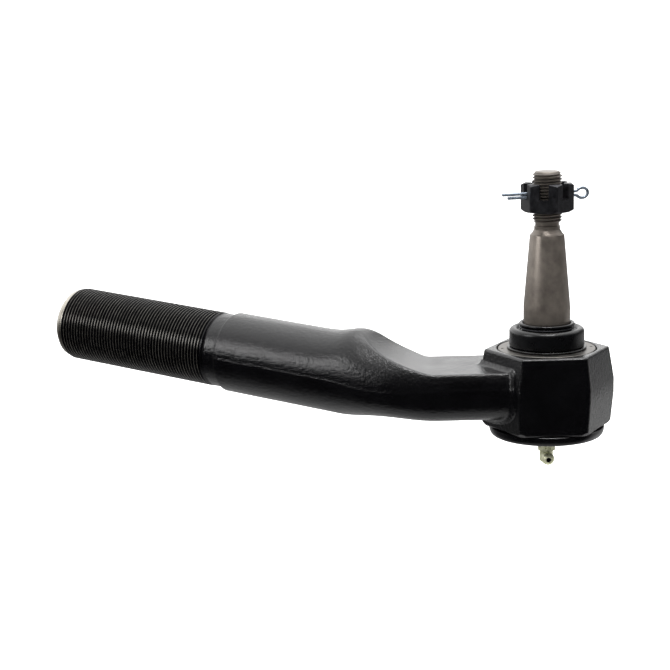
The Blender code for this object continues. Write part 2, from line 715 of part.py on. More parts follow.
def make_castle_nut(parts, cutters, finish):
    corner = NUT_FLATS / 2 / math.cos(math.pi / 6)
    nut = prism("castle_nut", 6, corner, NUT_BOTTOM, NUT_TOP, NUT_TURN, parts, finish)
    outer = corner + NUT_CHAMFER
    slope = math.tan(NUT_CHAMFER_ANGLE)
    for name, end, way in (("nut_top_turn", NUT_TOP, 1), ("nut_bottom_turn", NUT_BOTTOM, -1)):
        outside = end + way * NUT_CHAMFER * slope
        inside = end - way * 2 * NUT_CHAMFER * slope
        profile = [
            (outer, max(outside, inside)), (outer, min(outside, inside)),
            (corner - 2 * NUT_CHAMFER, outside),
        ]
        boolean(nut, turned(name, profile, cutters, closed=True), "DIFFERENCE")
    bore = prism(
        "nut_bore", LARGE_STEPS, STUD_THREAD_RADIUS + GAP, NUT_BOTTOM - GAP, NUT_TOP + GAP, 0.0, cutters,
    )
    boolean(nut, bore, "DIFFERENCE")
    for index in range(3):
        turn = NUT_TURN + math.pi * index / 3
        size = (2 * NUT_FLATS, NUT_SLOT_WIDTH, 2 * NUT_SLOT_DEPTH)
        slot = box("nut_slot_%d" % index, size, (0, 0, NUT_TOP), turn, cutters)
        boolean(nut, slot, "DIFFERENCE")
    return nut


def make_cotter_pin(parts, finish):
    throat = PIN_EYE_CENTRE - PIN_EYE_LENGTH * 1.5
    points = [(-PIN_LONG_LEG, 0.0, PIN_LEG_SPREAD), (throat, 0.0, PIN_LEG_SPREAD)]
    first = math.pi - PIN_EYE_OPENING / 2
    for index in range(PIN_EYE_STEPS + 1):
        angle = first * (1 - 2 * index / PIN_EYE_STEPS)
        x = PIN_EYE_CENTRE + PIN_EYE_LENGTH * math.cos(angle)
        points.append((x, 0.0, PIN_EYE_HEIGHT * math.sin(angle)))
    points += [(throat, 0.0, -PIN_LEG_SPREAD), (-PIN_SHORT_LEG, 0.0, -PIN_LEG_SPREAD)]
    pin = wire("cotter_pin", points, PIN_WIRE, 2, parts, finish)
    pin.location = (0, 0, PIN_HEIGHT)
    pin.rotation_euler = (0, 0, NUT_TURN)
    return pin


def main():
    clear_scene()
    parts = new_collection("tie_rod_end")
    cutters = new_collection("cutters")
    forged = material("black_forged_steel", (0.012, 0.012, 0.013), 0.35, 0.6)
    black_steel = material("black_oxide_steel", (0.02, 0.02, 0.022), 0.4, 0.8)
    stud_steel = material("phosphated_steel", (0.22, 0.20, 0.18), 0.45, 0.9)
    zinc = material("zinc_plate", (0.55, 0.57, 0.6), 0.3, 1.0)
    yellow_zinc = material("yellow_zinc_plate", (0.62, 0.6, 0.42), 0.35, 1.0)
    spring_steel = material("spring_steel", (0.3, 0.3, 0.31), 0.35, 1.0)
    plate_steel = material("grey_steel_plate", (0.1, 0.1, 0.1), 0.45, 0.8)
    polymer = material("acetal_race", (0.75, 0.73, 0.66), 0.5, 0.0)
    rubber = material("black_rubber", (0.01, 0.01, 0.011), 0.5, 0.0)

    pivot = bpy.data.objects.new("ball_centre", None)
    parts.objects.link(pivot)
    make_forged_body(parts, cutters, forged)
    make_socket_stack(parts, spring_steel, polymer, rubber)
    make_grease_fitting(parts, cutters, yellow_zinc, spring_steel)
    make_top_plate(parts, cutters, spring_steel, plate_steel, rubber)
    moving = make_boot(parts, spring_steel, rubber)
    moving.append(make_ball_stud(parts, cutters, stud_steel))
    moving.append(make_castle_nut(parts, cutters, black_steel))
    moving.append(make_cotter_pin(parts, zinc))
    for item in moving:
        item.parent = pivot


main()
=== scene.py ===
"""Visible surfaces of a forged tie rod end, built round its CAD frame and laid out as an add-on."""
import functools
import math

import bmesh
import bpy
from mathutils import Matrix, Vector, noise


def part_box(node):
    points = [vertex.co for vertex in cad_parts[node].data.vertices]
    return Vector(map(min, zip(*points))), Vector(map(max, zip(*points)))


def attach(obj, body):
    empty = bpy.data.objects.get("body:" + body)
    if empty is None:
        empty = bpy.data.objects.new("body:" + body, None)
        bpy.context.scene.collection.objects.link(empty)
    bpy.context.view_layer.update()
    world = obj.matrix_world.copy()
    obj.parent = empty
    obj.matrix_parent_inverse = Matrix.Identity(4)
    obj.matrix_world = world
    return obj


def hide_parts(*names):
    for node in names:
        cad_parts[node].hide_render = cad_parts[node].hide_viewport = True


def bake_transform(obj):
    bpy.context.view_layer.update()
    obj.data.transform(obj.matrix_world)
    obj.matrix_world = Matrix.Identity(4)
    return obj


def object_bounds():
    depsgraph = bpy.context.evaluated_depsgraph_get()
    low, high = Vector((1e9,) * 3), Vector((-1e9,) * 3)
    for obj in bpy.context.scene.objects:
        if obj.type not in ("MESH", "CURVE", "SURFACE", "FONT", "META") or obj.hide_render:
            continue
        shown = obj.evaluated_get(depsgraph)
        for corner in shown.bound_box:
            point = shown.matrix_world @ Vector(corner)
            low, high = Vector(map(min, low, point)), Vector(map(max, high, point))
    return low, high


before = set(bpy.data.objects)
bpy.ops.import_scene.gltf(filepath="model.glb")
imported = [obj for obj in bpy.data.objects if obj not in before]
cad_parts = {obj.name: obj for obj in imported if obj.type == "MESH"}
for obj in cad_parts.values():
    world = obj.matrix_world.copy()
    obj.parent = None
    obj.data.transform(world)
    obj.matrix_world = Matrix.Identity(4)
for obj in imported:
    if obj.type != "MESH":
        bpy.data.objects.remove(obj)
cad_low, cad_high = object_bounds()

bl_info = {
    "name": "Tie Rod End",
    "version": (1, 0, 0),
    "blender": (4, 5, 0),
    "location": "View3D > Sidebar > Tie Rod End",
    "description": "Builds the visible surfaces of a forged tie rod end round its CAD frame",
    "category": "Object",
}

MM = 0.001
WELD = 0.000001
HEX_COS = math.cos(math.pi / 6)


def srgb(code):
    """A hex colour as linear red, green and blue."""
    values = [int(code[index:index + 2], 16) / 255 for index in (1, 3, 5)]
    return tuple(v / 12.92 if v <= 0.04045 else ((v + 0.055) / 1.055) ** 2.4 for v in values)


def length(name, millimetres, description):
    """A size that can't be negative, given in millimetres and kept in metres."""
    return bpy.props.FloatProperty(
        name=name, description=description, default=millimetres * MM, min=0.0,
        unit="LENGTH", precision=5,
    )


def level(name, metres, description):
    """A height above or below the ball's centre."""
    return bpy.props.FloatProperty(
        name=name, description=description, default=metres, unit="LENGTH", precision=5,
    )


def colour(name, code, description):
    """A colour the user can pick, given as a hex code."""
    return bpy.props.FloatVectorProperty(
        name=name, description=description, default=srgb(code), subtype="COLOR", size=3,
        min=0.0, max=1.0,
    )


def top_of(node):
    """Height of a CAD node's top."""
    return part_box(node)[1].z


def bottom_of(node):
    """Height of a CAD node's underside."""
    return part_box(node)[0].z


def reach_of(node):
    """Half of a turned node's width along X."""
    low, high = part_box(node)
    return (high.x - low.x) / 2


class TieRodBodySizes(bpy.types.PropertyGroup):
    corner_top: length("Corner at top", 30.4, "Centre to corner of the hexagon at the top face")
    corner_middle: length("Corner at middle", 33.0, "Centre to corner of the hexagon on its band")
    corner_bottom: length("Corner at bottom", 31.4, "Centre to corner at the bottom face")
    top: level("Top face", 0.0202, "Height of the housing's top face above the ball's centre")
    band_top: level("Band top", 0.0048, "Upper edge of the upright band")
    band_bottom: level("Band bottom", -0.0022, "Lower edge of the upright band")
    bottom: level("Bottom face", -0.0177, "Height of the housing's bottom face")
    edge: length("Edge radius", 1.3, "Rounding of the housing's edges")
    turned_radius: length("Turned corner radius", 29.4, "Where the bottom corners are turned off")
    recess_radius: length("Recess radius", 24.0, "Radius of the plate's recess")
    recess_depth: length("Recess depth", 2.4, "Depth of the plate's recess")
    socket_radius: length("Socket radius", 19.8, "Radius of the ball's socket")
    socket_roof: level("Socket roof", 0.00975, "Height of the socket's roof")
    throat_low: length("Throat radius at roof", 13.0, "Radius of the throat at the socket's roof")
    throat_high: length("Throat radius at recess", 15.7, "Radius of the throat at the recess")
    fillet: length("Neck fillet", 2.4, "Fillet where the neck meets the housing")
    neck_half_width: length("Neck half width", 24.0, "Half of the neck's width")
    neck_top: level("Neck top", 0.0125, "Height of the neck's flat top")
    neck_bottom: level("Neck bottom", -0.0129, "Height of the neck's underside")
    neck_edge: length("Neck edge", 0.9, "Rounding of the neck's top edges")
    ramp_start: length("Ramp start", 54.0, "Distance from the ball to the start of the ramp")
    bend_distance: length("Bend distance", 75.0, "Distance from the ball to the shank's axis")
    bend_lead: length("Bend lead", 19.0, "Length of the bend before its corner")
    ramp_end: length("Ramp end", 25.0, "End of the ramp along the shank")
    ramp_length: length("Ramp length", 31.5, "Length of the flat that climbs to the shank")
    crest_rise: length("Crest rise", 3.2, "Height of the knuckle where the ramp meets the shank")
    crest_width: length("Crest width", 10.0, "Spread of that knuckle along the forging")
    underside_rise: length("Underside rise", 2.2, "Hollow of the underside at the ramp")
    shank_height: level("Shank height", 0.0051, "Height of the shank's axis at the bend")
    shank_radius: length("Shank radius", 20.1, "Radius of the forged shank")
    shoulder: length("Shoulder", 91.0, "Distance along the shank to its shoulder")
    relief_radius: length("Relief radius", 18.7, "Radius of the plain band before the thread")
    thread_start: length("Thread start", 97.0, "Distance along the shank to the thread")
    thread_radius: length("Thread radius", 19.0, "Outer radius of the shank's thread")
    thread_pitch: length("Thread pitch", 1.8, "Pitch of the shank's thread")
    end_length: length("End bevel length", 5.8, "Length of the bevelled end")
    end_depth: length("End bevel depth", 3.2, "Depth of the bevelled end")
    cover_radius: length("Cover radius", 27.8, "Radius of the end cover's flange")
    bend_angle: bpy.props.FloatProperty(
        name="Bend angle", description="Turn of the shank away from the neck in plan",
        default=math.radians(30.4), subtype="ANGLE",
    )
    rise_angle: bpy.props.FloatProperty(
        name="Rise angle", description="Slope of the shank's axis",
        default=math.radians(4.3), subtype="ANGLE",
    )
    thread_turns: bpy.props.IntProperty(
        name="Thread turns", description="Turns of thread on the shank", default=50, min=3,
    )


class TieRodStudSizes(bpy.types.PropertyGroup):
    ball_radius: length("Ball radius", 16.0, "Radius of the ball")
    ball_flat: level("Ball flat", -0.0136, "Height of the flat under the ball")
    neck_radius: length("Neck radius", 8.6, "Radius of the neck above the ball")
    neck_top: level("Neck top", 0.025, "Where the neck starts to flare")
    flare_top: level("Flare top", 0.0295, "Where the flare meets the cylinder")
    taper_radius: length("Taper radius", 11.2, "Large radius of the taper")
    taper_start: level("Taper start", 0.0408, "Height where the taper starts")
    taper_length: length("Taper length", 34.3, "Length of the taper")
    taper_end_radius: length("Taper end radius", 8.2, "Small radius of the taper")
    undercut_radius: length("Undercut radius", 6.15, "Radius between taper and thread")
    undercut_length: length("Undercut length", 2.6, "Length of the undercut")
    thread_radius: length("Thread radius", 7.0, "Outer radius of the stud's thread")
    thread_pitch: length("Thread pitch", 1.5, "Pitch of the stud's thread")
    thread_length: length("Thread length", 25.4, "Length of the stud's thread")
    chamfer: length("Chamfer", 1.4, "Chamfer at the stud's end")
    hole_radius: length("Pin hole radius", 2.0, "Radius of the cotter pin's hole")
    nut_flats: length("Nut across flats", 22.0, "Width of the nut across its flats")
    nut_chamfer: length("Nut chamfer", 1.6, "Chamfer on the nut's corners")
    slot_width: length("Slot width", 4.4, "Width of the nut's slots")
    slot_depth: length("Slot depth", 7.4, "Depth of the nut's slots")
    pin_wire: length("Pin wire", 0.76, "Radius of each half of the cotter pin")
    pin_long_leg: length("Long leg", 22.5, "Reach of the pin's longer leg")
    pin_short_leg: length("Short leg", 19.8, "Reach of the pin's shorter leg")
    pin_eye_centre: length("Eye centre", 17.7, "Distance from the stud's axis to the eye")
    pin_eye_length: length("Eye length", 2.9, "Half length of the pin's eye")
    pin_eye_height: length("Eye height", 2.4, "Half height of the pin's eye")
    nut_turn: bpy.props.FloatProperty(
        name="Nut turn", description="Turn of the nut and pin about the stud",
        default=math.radians(14.0), subtype="ANGLE",
    )


class TieRodColours(bpy.types.PropertyGroup):
    coat: colour("Black coat", "#020203", "Black coating of the forging")
    bare_steel: colour("Bare steel", "#B9B4AA", "Turned steel at the shank's end")
    stud_steel: colour("Stud steel", "#756E67", "Phosphated steel of the ball stud")
    nut_steel: colour("Nut steel", "#2B2B2E", "Black oxide of the castle nut")
    zinc: colour("Zinc", "#929CA8", "Zinc plating of the cotter pin")
    yellow_zinc: colour("Yellow zinc", "#D6D6BC", "Passivated zinc of the grease fitting")
    plate_steel: colour("Plate steel", "#6F6C68", "Phosphated steel of the retaining plate")
    rubber: colour("Rubber", "#030304", "Rubber of the boot and seals")
    acetal: colour("Acetal", "#DDD8CB", "Moulded bearing races")
    spring_steel: colour("Spring steel", "#8A8B8E", "Springs, shim and washer")


# ---- materials ----

# A noise texture rarely leaves this band, so the band is stretched over the whole range.
CLOUD_LOW, CLOUD_HIGH = 0.3, 0.7


def add_node(tree, kind, settings=None, values=None, links=None):
    """Adds one node with its settings, socket values and incoming links."""
    made = tree.nodes.new(kind)
    for name, value in (settings or {}).items():
        setattr(made, name, value)
    for name, value in (values or {}).items():
        made.inputs[name].default_value = value
    for name, source in (links or {}).items():
        tree.links.new(source, made.inputs[name])
    return made


def per_mm(size):
    """Texture scale that gives features of this size in millimetres."""
    return 1000.0 / size


def new_material(name, base, metallic, roughness, **sockets):
    """A material with its base values; further sockets are named with underscores."""
    made = bpy.data.materials.new(name)
    made.use_nodes = True
    shader = made.node_tree.nodes["Principled BSDF"]
    shader.inputs["Base Color"].default_value = (*base, 1.0)
    shader.inputs["Metallic"].default_value = metallic
    shader.inputs["Roughness"].default_value = roughness
    for socket, value in sockets.items():
        shader.inputs[socket.replace("_", " ")].default_value = value
    return made, made.node_tree, shader


def connect(tree, shader, **sources):
    """Links each source to the shader's socket of that name."""
    for socket, source in sources.items():
        tree.links.new(source, shader.inputs[socket.replace("_", " ")])


def object_point(tree, stretch=(1.0, 1.0, 1.0)):
    """The point being shaded, in the piece's own metres."""
    point = add_node(tree, "ShaderNodeTexCoord")
    placed = add_node(
        tree, "ShaderNodeMapping", values={"Scale": stretch},
        links={"Vector": point.outputs["Object"]},
    )
    return placed.outputs["Vector"]


def cloud(tree, point, size, detail=3.0, rough=0.55):
    """Soft patches of this size in millimetres."""
    made = add_node(
        tree, "ShaderNodeTexNoise",
        values={"Scale": per_mm(size), "Detail": detail, "Roughness": rough},
        links={"Vector": point},
    )
    return made.outputs["Fac"]


def spread(tree, source, low, high):
    """A cloud turned into a value that wanders between two limits."""
    made = add_node(
        tree, "ShaderNodeMapRange",
        values={"From Min": CLOUD_LOW, "From Max": CLOUD_HIGH, "To Min": low, "To Max": high},
        links={"Value": source},
    )
    return made.outputs["Result"]


def tint(tree, source, dark, light):
    """A cloud turned into a colour that wanders between two."""
    ramp = add_node(tree, "ShaderNodeValToRGB", links={"Fac": source})
    stops = zip(ramp.color_ramp.elements, (CLOUD_LOW, CLOUD_HIGH), (dark, light))
    for stop, position, value in stops:
        stop.position = position
        stop.color = (*value, 1.0)
    return ramp.outputs["Color"]


def bump(tree, source, depth, before=None):
    """Depth is the height of the relief in millimetres."""
    links = {"Height": source}
    if before is not None:
        links["Normal"] = before
    made = add_node(tree, "ShaderNodeBump", values={"Distance": depth * MM}, links=links)
    return made.outputs["Normal"]


def shaded(base, share):
    """A darker or lighter version of a colour."""
    return tuple(value * share for value in base)


def coated_forging(base):
    # Black electrocoat over shot-blasted forged steel: a soft gloss that follows the scale pits.
    made, tree, shader = new_material(
        "black_electrocoated_forged_steel", base, 0.0, 0.2, Specular_IOR_Level=0.5,
    )
    point = object_point(tree)
    pits = cloud(tree, point, 1.5, 4.0, 0.6)
    peel = cloud(tree, point, 0.5, 2.0)
    worn = cloud(tree, point, 14.0, 3.0)
    connect(
        tree, shader, Normal=bump(tree, peel, 0.06, bump(tree, pits, 0.26)),
        Roughness=spread(tree, worn, 0.15, 0.24),
        Base_Color=tint(tree, worn, base, shaded(base, 1.7)),
    )
    return made


def coated_smooth(base):
    # The same black coat on turned or pressed steel, where only the paint's own peel shows.
    made, tree, shader = new_material(
        "black_electrocoated_turned_steel", base, 0.0, 0.22, Specular_IOR_Level=0.4,
    )
    point = object_point(tree)
    peel = cloud(tree, point, 0.7, 2.0)
    worn = cloud(tree, point, 9.0, 3.0)
    connect(
        tree, shader, Normal=bump(tree, peel, 0.04), Roughness=spread(tree, worn, 0.18, 0.28),
        Base_Color=tint(tree, worn, base, shaded(base, 1.6)),
    )
    return made


def crest_wear_and_painted_highlight(base):
    # Coat rubbed thin on the thread's crests: dark steel shows through. The crests are also made
    # lighter and glossier than the coat as a painted highlight, a thin line of light along each
    # turn.
    made, tree, shader = new_material("burnished_thread_crest", base, 0.7, 0.28)
    point = object_point(tree)
    rub = cloud(tree, point, 4.0, 3.0)
    connect(
        tree, shader, Roughness=spread(tree, rub, 0.22, 0.36),
        Base_Color=tint(tree, rub, shaded(base, 0.5), shaded(base, 1.5)),
    )
    return made


def turned_steel(name, base, roughness, mark, depth, metal=1.0):
    # Lathe-turned steel: fine rings across the axis with slow patches of stain.
    made, tree, shader = new_material(name, base, metal, roughness)
    point = object_point(tree)
    rings = add_node(
        tree, "ShaderNodeTexWave",
        {"wave_type": "BANDS", "bands_direction": "Z", "wave_profile": "SIN"},
        {
            "Scale": per_mm(mark) / 20.0 * math.pi, "Distortion": 1.2, "Detail": 2.0,
            "Detail Scale": 1.5,
        },
        {"Vector": point},
    )
    stain = cloud(tree, point, 6.0, 4.0, 0.6)
    grain = cloud(tree, point, 0.35, 2.0)
    connect(
        tree, shader, Normal=bump(tree, grain, 0.02, bump(tree, rings.outputs["Fac"], depth)),
        Roughness=spread(tree, stain, roughness - 0.07, roughness + 0.08),
        Base_Color=tint(tree, stain, shaded(base, 0.78), shaded(base, 1.18)),
    )
    return made


def black_oxide(base):
    # Black oxide on a forged nut: matt near-black with an oiled, mottled sheen.
    made, tree, shader = new_material("black_oxide_steel", base, 0.85, 0.42)
    point = object_point(tree)
    mottle = cloud(tree, point, 2.2, 4.0, 0.65)
    grain = cloud(tree, point, 0.4, 2.0)
    connect(
        tree, shader, Normal=bump(tree, grain, 0.05), Roughness=spread(tree, mottle, 0.34, 0.52),
        Base_Color=tint(tree, mottle, shaded(base, 0.6), shaded(base, 1.5)),
    )
    return made


def zinc_plate(name, base, roughness, warm, metal):
    # Electroplated zinc: bright, faintly clouded, with the passivate's slight cast.
    made, tree, shader = new_material(name, base, metal, roughness)
    point = object_point(tree)
    haze = cloud(tree, point, 1.8, 3.0)
    grain = cloud(tree, point, 0.3, 2.0)
    connect(
        tree, shader, Normal=bump(tree, grain, 0.015),
        Roughness=spread(tree, haze, roughness - 0.08, roughness + 0.1),
        Base_Color=tint(tree, haze, warm, base),
    )
    return made


def moulded_rubber(base):
    # Moulded nitrile rubber: deep black, soft highlight, very fine mould texture.
    made, tree, shader = new_material(
        "moulded_nitrile_rubber", base, 0.0, 0.26, Specular_IOR_Level=0.42,
    )
    point = object_point(tree)
    skin = cloud(tree, point, 0.45, 2.0)
    bloom = cloud(tree, point, 5.0, 3.0)
    connect(
        tree, shader, Normal=bump(tree, skin, 0.03), Roughness=spread(tree, bloom, 0.24, 0.34),
        Base_Color=tint(tree, bloom, base, shaded(base, 2.0)),
    )
    return made


def moulded_acetal(base):
    # Injection-moulded acetal: milky, smooth, slightly waxy.
    made, tree, shader = new_material("moulded_acetal", base, 0.0, 0.35, Subsurface_Weight=0.05)
    point = object_point(tree)
    flow = cloud(tree, point, 3.0, 2.0)
    connect(
        tree, shader, Normal=bump(tree, flow, 0.02),
        Base_Color=tint(tree, flow, shaded(base, 0.93), base),
    )
    return made


def spring_steel(base):
    # Cold-rolled spring steel: grey, drawn grain, satin.
    made, tree, shader = new_material("cold_rolled_spring_steel", base, 1.0, 0.35)
    point = object_point(tree, (1.0, 1.0, 6.0))
    grain = cloud(tree, point, 0.5, 3.0)
    connect(
        tree, shader, Normal=bump(tree, grain, 0.02), Roughness=spread(tree, grain, 0.28, 0.42),
        Base_Color=tint(tree, grain, shaded(base, 0.8), base),
    )
    return made


def white_paper():
    # Matt studio paper: no gloss, with a little light of its own so that it stays even.
    made, _, shader = new_material("matt_white_paper", srgb("#F4F4F3"), 0.0, 0.9)
    shader.inputs["Emission Color"].default_value = (1.0, 1.0, 1.0, 1.0)
    shader.inputs["Emission Strength"].default_value = 0.9
    return made


FINISHES = {}


def make_finish(name):
    picked = bpy.context.scene.tie_rod_colours

    def base(key):
        return tuple(getattr(picked, key))

    if name == "coat":
        return coated_forging(base("coat"))
    if name == "smooth_coat":
        return coated_smooth(base("coat"))
    # The crest finish is rubbed coat and a painted highlight along each turn of the thread.
    if name == "crest":
        return crest_wear_and_painted_highlight(shaded(base("bare_steel"), 0.11))
    if name == "bare":
        return turned_steel("bare_turned_steel", base("bare_steel"), 0.34, 0.5, 0.03)
    if name == "stud":
        return turned_steel(
            "phosphated_ground_steel", base("stud_steel"), 0.38, 0.45, 0.012, 0.75,
        )
    # A darker copy of the stud's steel for the thread's flanks and roots: painted shade in the
    # grooves.
    if name == "root":
        return turned_steel(
            "phosphated_thread_root", shaded(base("stud_steel"), 0.45), 0.4, 0.45, 0.01, 0.5,
        )
    if name == "plate":
        return turned_steel("phosphated_plate_steel", base("plate_steel"), 0.4, 0.6, 0.015)
    if name == "nut":
        return black_oxide(base("nut_steel"))
    if name == "zinc":
        return zinc_plate("bright_zinc_plate", base("zinc"), 0.3, shaded(base("zinc"), 0.8), 0.8)
    if name == "yellow_zinc":
        return zinc_plate(
            "yellow_passivated_zinc", base("yellow_zinc"), 0.3, srgb("#A3A67F"), 0.6,
        )
    if name == "rubber":
        return moulded_rubber(base("rubber"))
    if name == "acetal":
        return moulded_acetal(base("acetal"))
    return spring_steel(base("spring_steel"))


def finish_of(name):
    """Makes each finish once, when a piece first needs it."""
    if name not in FINISHES:
        FINISHES[name] = make_finish(name)
    return FINISHES[name]


# ---- mesh helpers ----

def lathe(profile, steps=128):
    """Spins a closed or axis-to-axis profile of (radius, height) about Z."""
    shape = bmesh.new()
    verts = [shape.verts.new((radius, 0.0, height)) for radius, height in profile]
    edges = [shape.edges.new(pair) for pair in zip(verts, verts[1:])]
    if profile[0][0] > WELD:
        edges.append(shape.edges.new((verts[-1], verts[0])))
    bmesh.ops.spin(
        shape, geom=verts + edges, cent=(0, 0, 0), axis=(0, 0, 1), dvec=(0, 0, 0),
        angle=2 * math.pi, steps=steps, use_merge=True, use_duplicate=False,
    )
    bmesh.ops.remove_doubles(shape, verts=shape.verts, dist=WELD)
    bmesh.ops.recalc_face_normals(shape, faces=shape.faces)
    return shape


def prism(sides, radius, bottom, top, turn=0.0):
    """An upright prism; the radius reaches its corners."""
    shape = bmesh.new()
    place = Matrix.Translation((0, 0, (top + bottom) / 2)) @ Matrix.Rotation(turn, 4, "Z")
    bmesh.ops.create_cone(
        shape, cap_ends=True, segments=sides, radius1=radius, radius2=radius,
        depth=top - bottom, matrix=place,
    )
    return shape


def block(size, centre, turn):
    shape = bmesh.new()
    place = Matrix.Translation(centre) @ Matrix.Rotation(turn, 4, "Z")
    bmesh.ops.create_cube(shape, size=1.0, matrix=place @ Matrix.Diagonal((*size, 1.0)))
    return shape


def sharp_edges(shape, degrees):
    limit = math.radians(degrees)
    return [e for e in shape.edges if e.is_manifold and e.calc_face_angle(0.0) > limit]


def round_edges(shape, edges, width, segments):
    bmesh.ops.bevel(
        shape, geom=edges, offset=width, segments=segments, profile=0.5, affect="EDGES",
        material=-1, clamp_overlap=True,
    )


def close_holes(shape):
    """Caps every open rim and turns the faces outward."""
    bmesh.ops.holes_fill(shape, edges=[e for e in shape.edges if e.is_boundary], sides=0)
    bmesh.ops.recalc_face_normals(shape, faces=shape.faces)


def new_verts(result):
    return [item for item in result["geom"] if isinstance(item, bmesh.types.BMVert)]


def arc(centre, radius, start, end, count):
    """Points of an arc from one angle to another, in degrees."""
    points = []
    for index in range(count + 1):
        angle = math.radians(start + (end - start) * index / count)
        points.append((centre[0] + radius * math.cos(angle), centre[1] + radius * math.sin(angle)))
    return points


def stand_in(shape):
    """A temporary object with two bare slots, so that face finishes survive a boolean."""
    mesh = bpy.data.meshes.new("work")
    mesh.materials.append(None)
    mesh.materials.append(None)
    shape.to_mesh(mesh)
    shape.free()
    made = bpy.data.objects.new("work", mesh)
    bpy.context.scene.collection.objects.link(made)
    return made


def carve(shape, tools):
    """Applies exact booleans to a bmesh: tools is a list of (operation, bmesh)."""
    target = stand_in(shape)
    helpers = []
    for operation, tool in tools:
        helper = stand_in(tool)
        step = target.modifiers.new("carve", "BOOLEAN")
        step.operation = operation
        step.solver = "EXACT"
        step.material_mode = "INDEX"
        step.object = helper
        helpers.append(helper)
    bpy.context.view_layer.update()
    graph = bpy.context.evaluated_depsgraph_get()
    result = bmesh.new()
    result.from_mesh(target.evaluated_get(graph).to_mesh())
    for item in [target, *helpers]:
        mesh = item.data
        bpy.data.objects.remove(item)
        bpy.data.meshes.remove(mesh)
    bmesh.ops.remove_doubles(result, verts=result.verts, dist=WELD)
    return result


def piece(name, shape, finishes, body=None, nodes=(), smooth=32):
    """Turns a bmesh into a finished piece that rides on a body and stands for CAD nodes."""
    mesh = bpy.data.meshes.new(name)
    shape.to_mesh(mesh)
    shape.free()
    for item in finishes:
        mesh.materials.append(finish_of(item))
    mesh.shade_smooth()
    mesh.set_sharp_from_angle(angle=math.radians(smooth))
    made = bpy.data.objects.new(name, mesh)
    bpy.context.scene.collection.objects.link(made)
    if body:
        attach(made, body)
    if nodes:
        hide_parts(*nodes)
    return made


def keep_flats(made, smallest):
    """Keeps broad faces flat-looking beside their rounded edges."""
    mesh = made.data
    work = bmesh.new()
    work.from_mesh(mesh)
    for edge in sharp_edges(work, 3):
        if min(face.calc_area() for face in edge.link_faces) > smallest:
            edge.smooth = False
    work.to_mesh(mesh)
    work.free()
    weigh = made.modifiers.new("weighted_normals", "WEIGHTED_NORMAL")
    weigh.keep_sharp = True
    weigh.weight = 80


def thread_sleeve(major, minor, pitch, turns, steps):
    """A right-hand thread from height 0 to turns x pitch, closed by flat ends."""
    shape = bmesh.new()
    points = []
    for turn in range(turns + 2):
        base = (turn - 1) * pitch
        points += [
            (minor, base), (minor, base + 0.14 * pitch),
            (major, base + 0.46 * pitch), (major, base + 0.66 * pitch),
        ]
    verts = [shape.verts.new((radius, 0.0, height)) for radius, height in points]
    edges = [shape.edges.new(pair) for pair in zip(verts, verts[1:])]
    bmesh.ops.spin(
        shape, geom=verts + edges, cent=(0, 0, 0), axis=(0, 0, 1), dvec=(0, 0, pitch / steps),
        angle=2 * math.pi, steps=steps, use_merge=False, use_duplicate=False,
    )
    bmesh.ops.remove_doubles(shape, verts=shape.verts, dist=WELD * 5)
    for height, outer in ((0.0, False), (turns * pitch, True)):
        geom = list(shape.verts) + list(shape.edges) + list(shape.faces)
        bmesh.ops.bisect_plane(
            shape, geom=geom, dist=WELD, plane_co=(0, 0, height), plane_no=(0, 0, 1),
            clear_outer=outer, clear_inner=not outer,
        )
        rim = [
            e for e in shape.edges
            if e.is_boundary and max(abs(v.co.z - height) for v in e.verts) < WELD * 20
        ]
        bmesh.ops.holes_fill(shape, edges=rim, sides=0)
    bmesh.ops.recalc_face_normals(shape, faces=shape.faces)
    return shape


# ---- forged body ----

def smooth_step(share):
    """Eases from 0 to 1 with no corner at either end."""
    share = min(max(share, 0.0), 1.0)
    return share * share * (3 - 2 * share)


def mix(first, second, share):
    return first + (second - first) * share


def soft_min(value, limit, width):
    """The smaller of two heights, with the corner between them rounded over width."""
    share = max(width - abs(value - limit), 0.0) / width
    return min(value, limit) - share * share * width / 4


def soft_ramp(share, corner):
    """A straight climb from 0 to 1 whose two corners are rounded over this share of it."""
    return soft_min(-soft_min(-share, 0.0, corner), 1.0, corner)


def shank_axis(sizes):
    """Direction of the shank, away from the ball."""
    bend, rise = sizes.bend_angle, sizes.rise_angle
    return Vector((
        -math.cos(bend) * math.cos(rise), math.sin(bend) * math.cos(rise), math.sin(rise),
    ))


def shank_matrix(sizes):
    """Places a piece made along +Z onto the shank, with its zero at the bend's corner."""
    turn = Vector((0, 0, 1)).rotation_difference(shank_axis(sizes)).to_matrix().to_4x4()
    return Matrix.Translation((-sizes.bend_distance, 0, sizes.shank_height)) @ turn


def hexagon_levels(sizes):
    """Height and centre-to-corner size of the housing, from the bottom up."""
    return [
        (sizes.bottom, sizes.corner_bottom), (sizes.band_bottom, sizes.corner_middle),
        (sizes.band_top, sizes.corner_middle), (sizes.top, sizes.corner_top),
    ]


def apothem_at(sizes, height):
    """Distance from the centre to the housing's flats at a height."""
    levels = hexagon_levels(sizes)
    for (low, first), (high, second) in zip(levels, levels[1:]):
        if height <= high:
            share = min(max((height - low) / (high - low), 0.0), 1.0)
            return mix(first, second, share) * HEX_COS
    return sizes.corner_top * HEX_COS


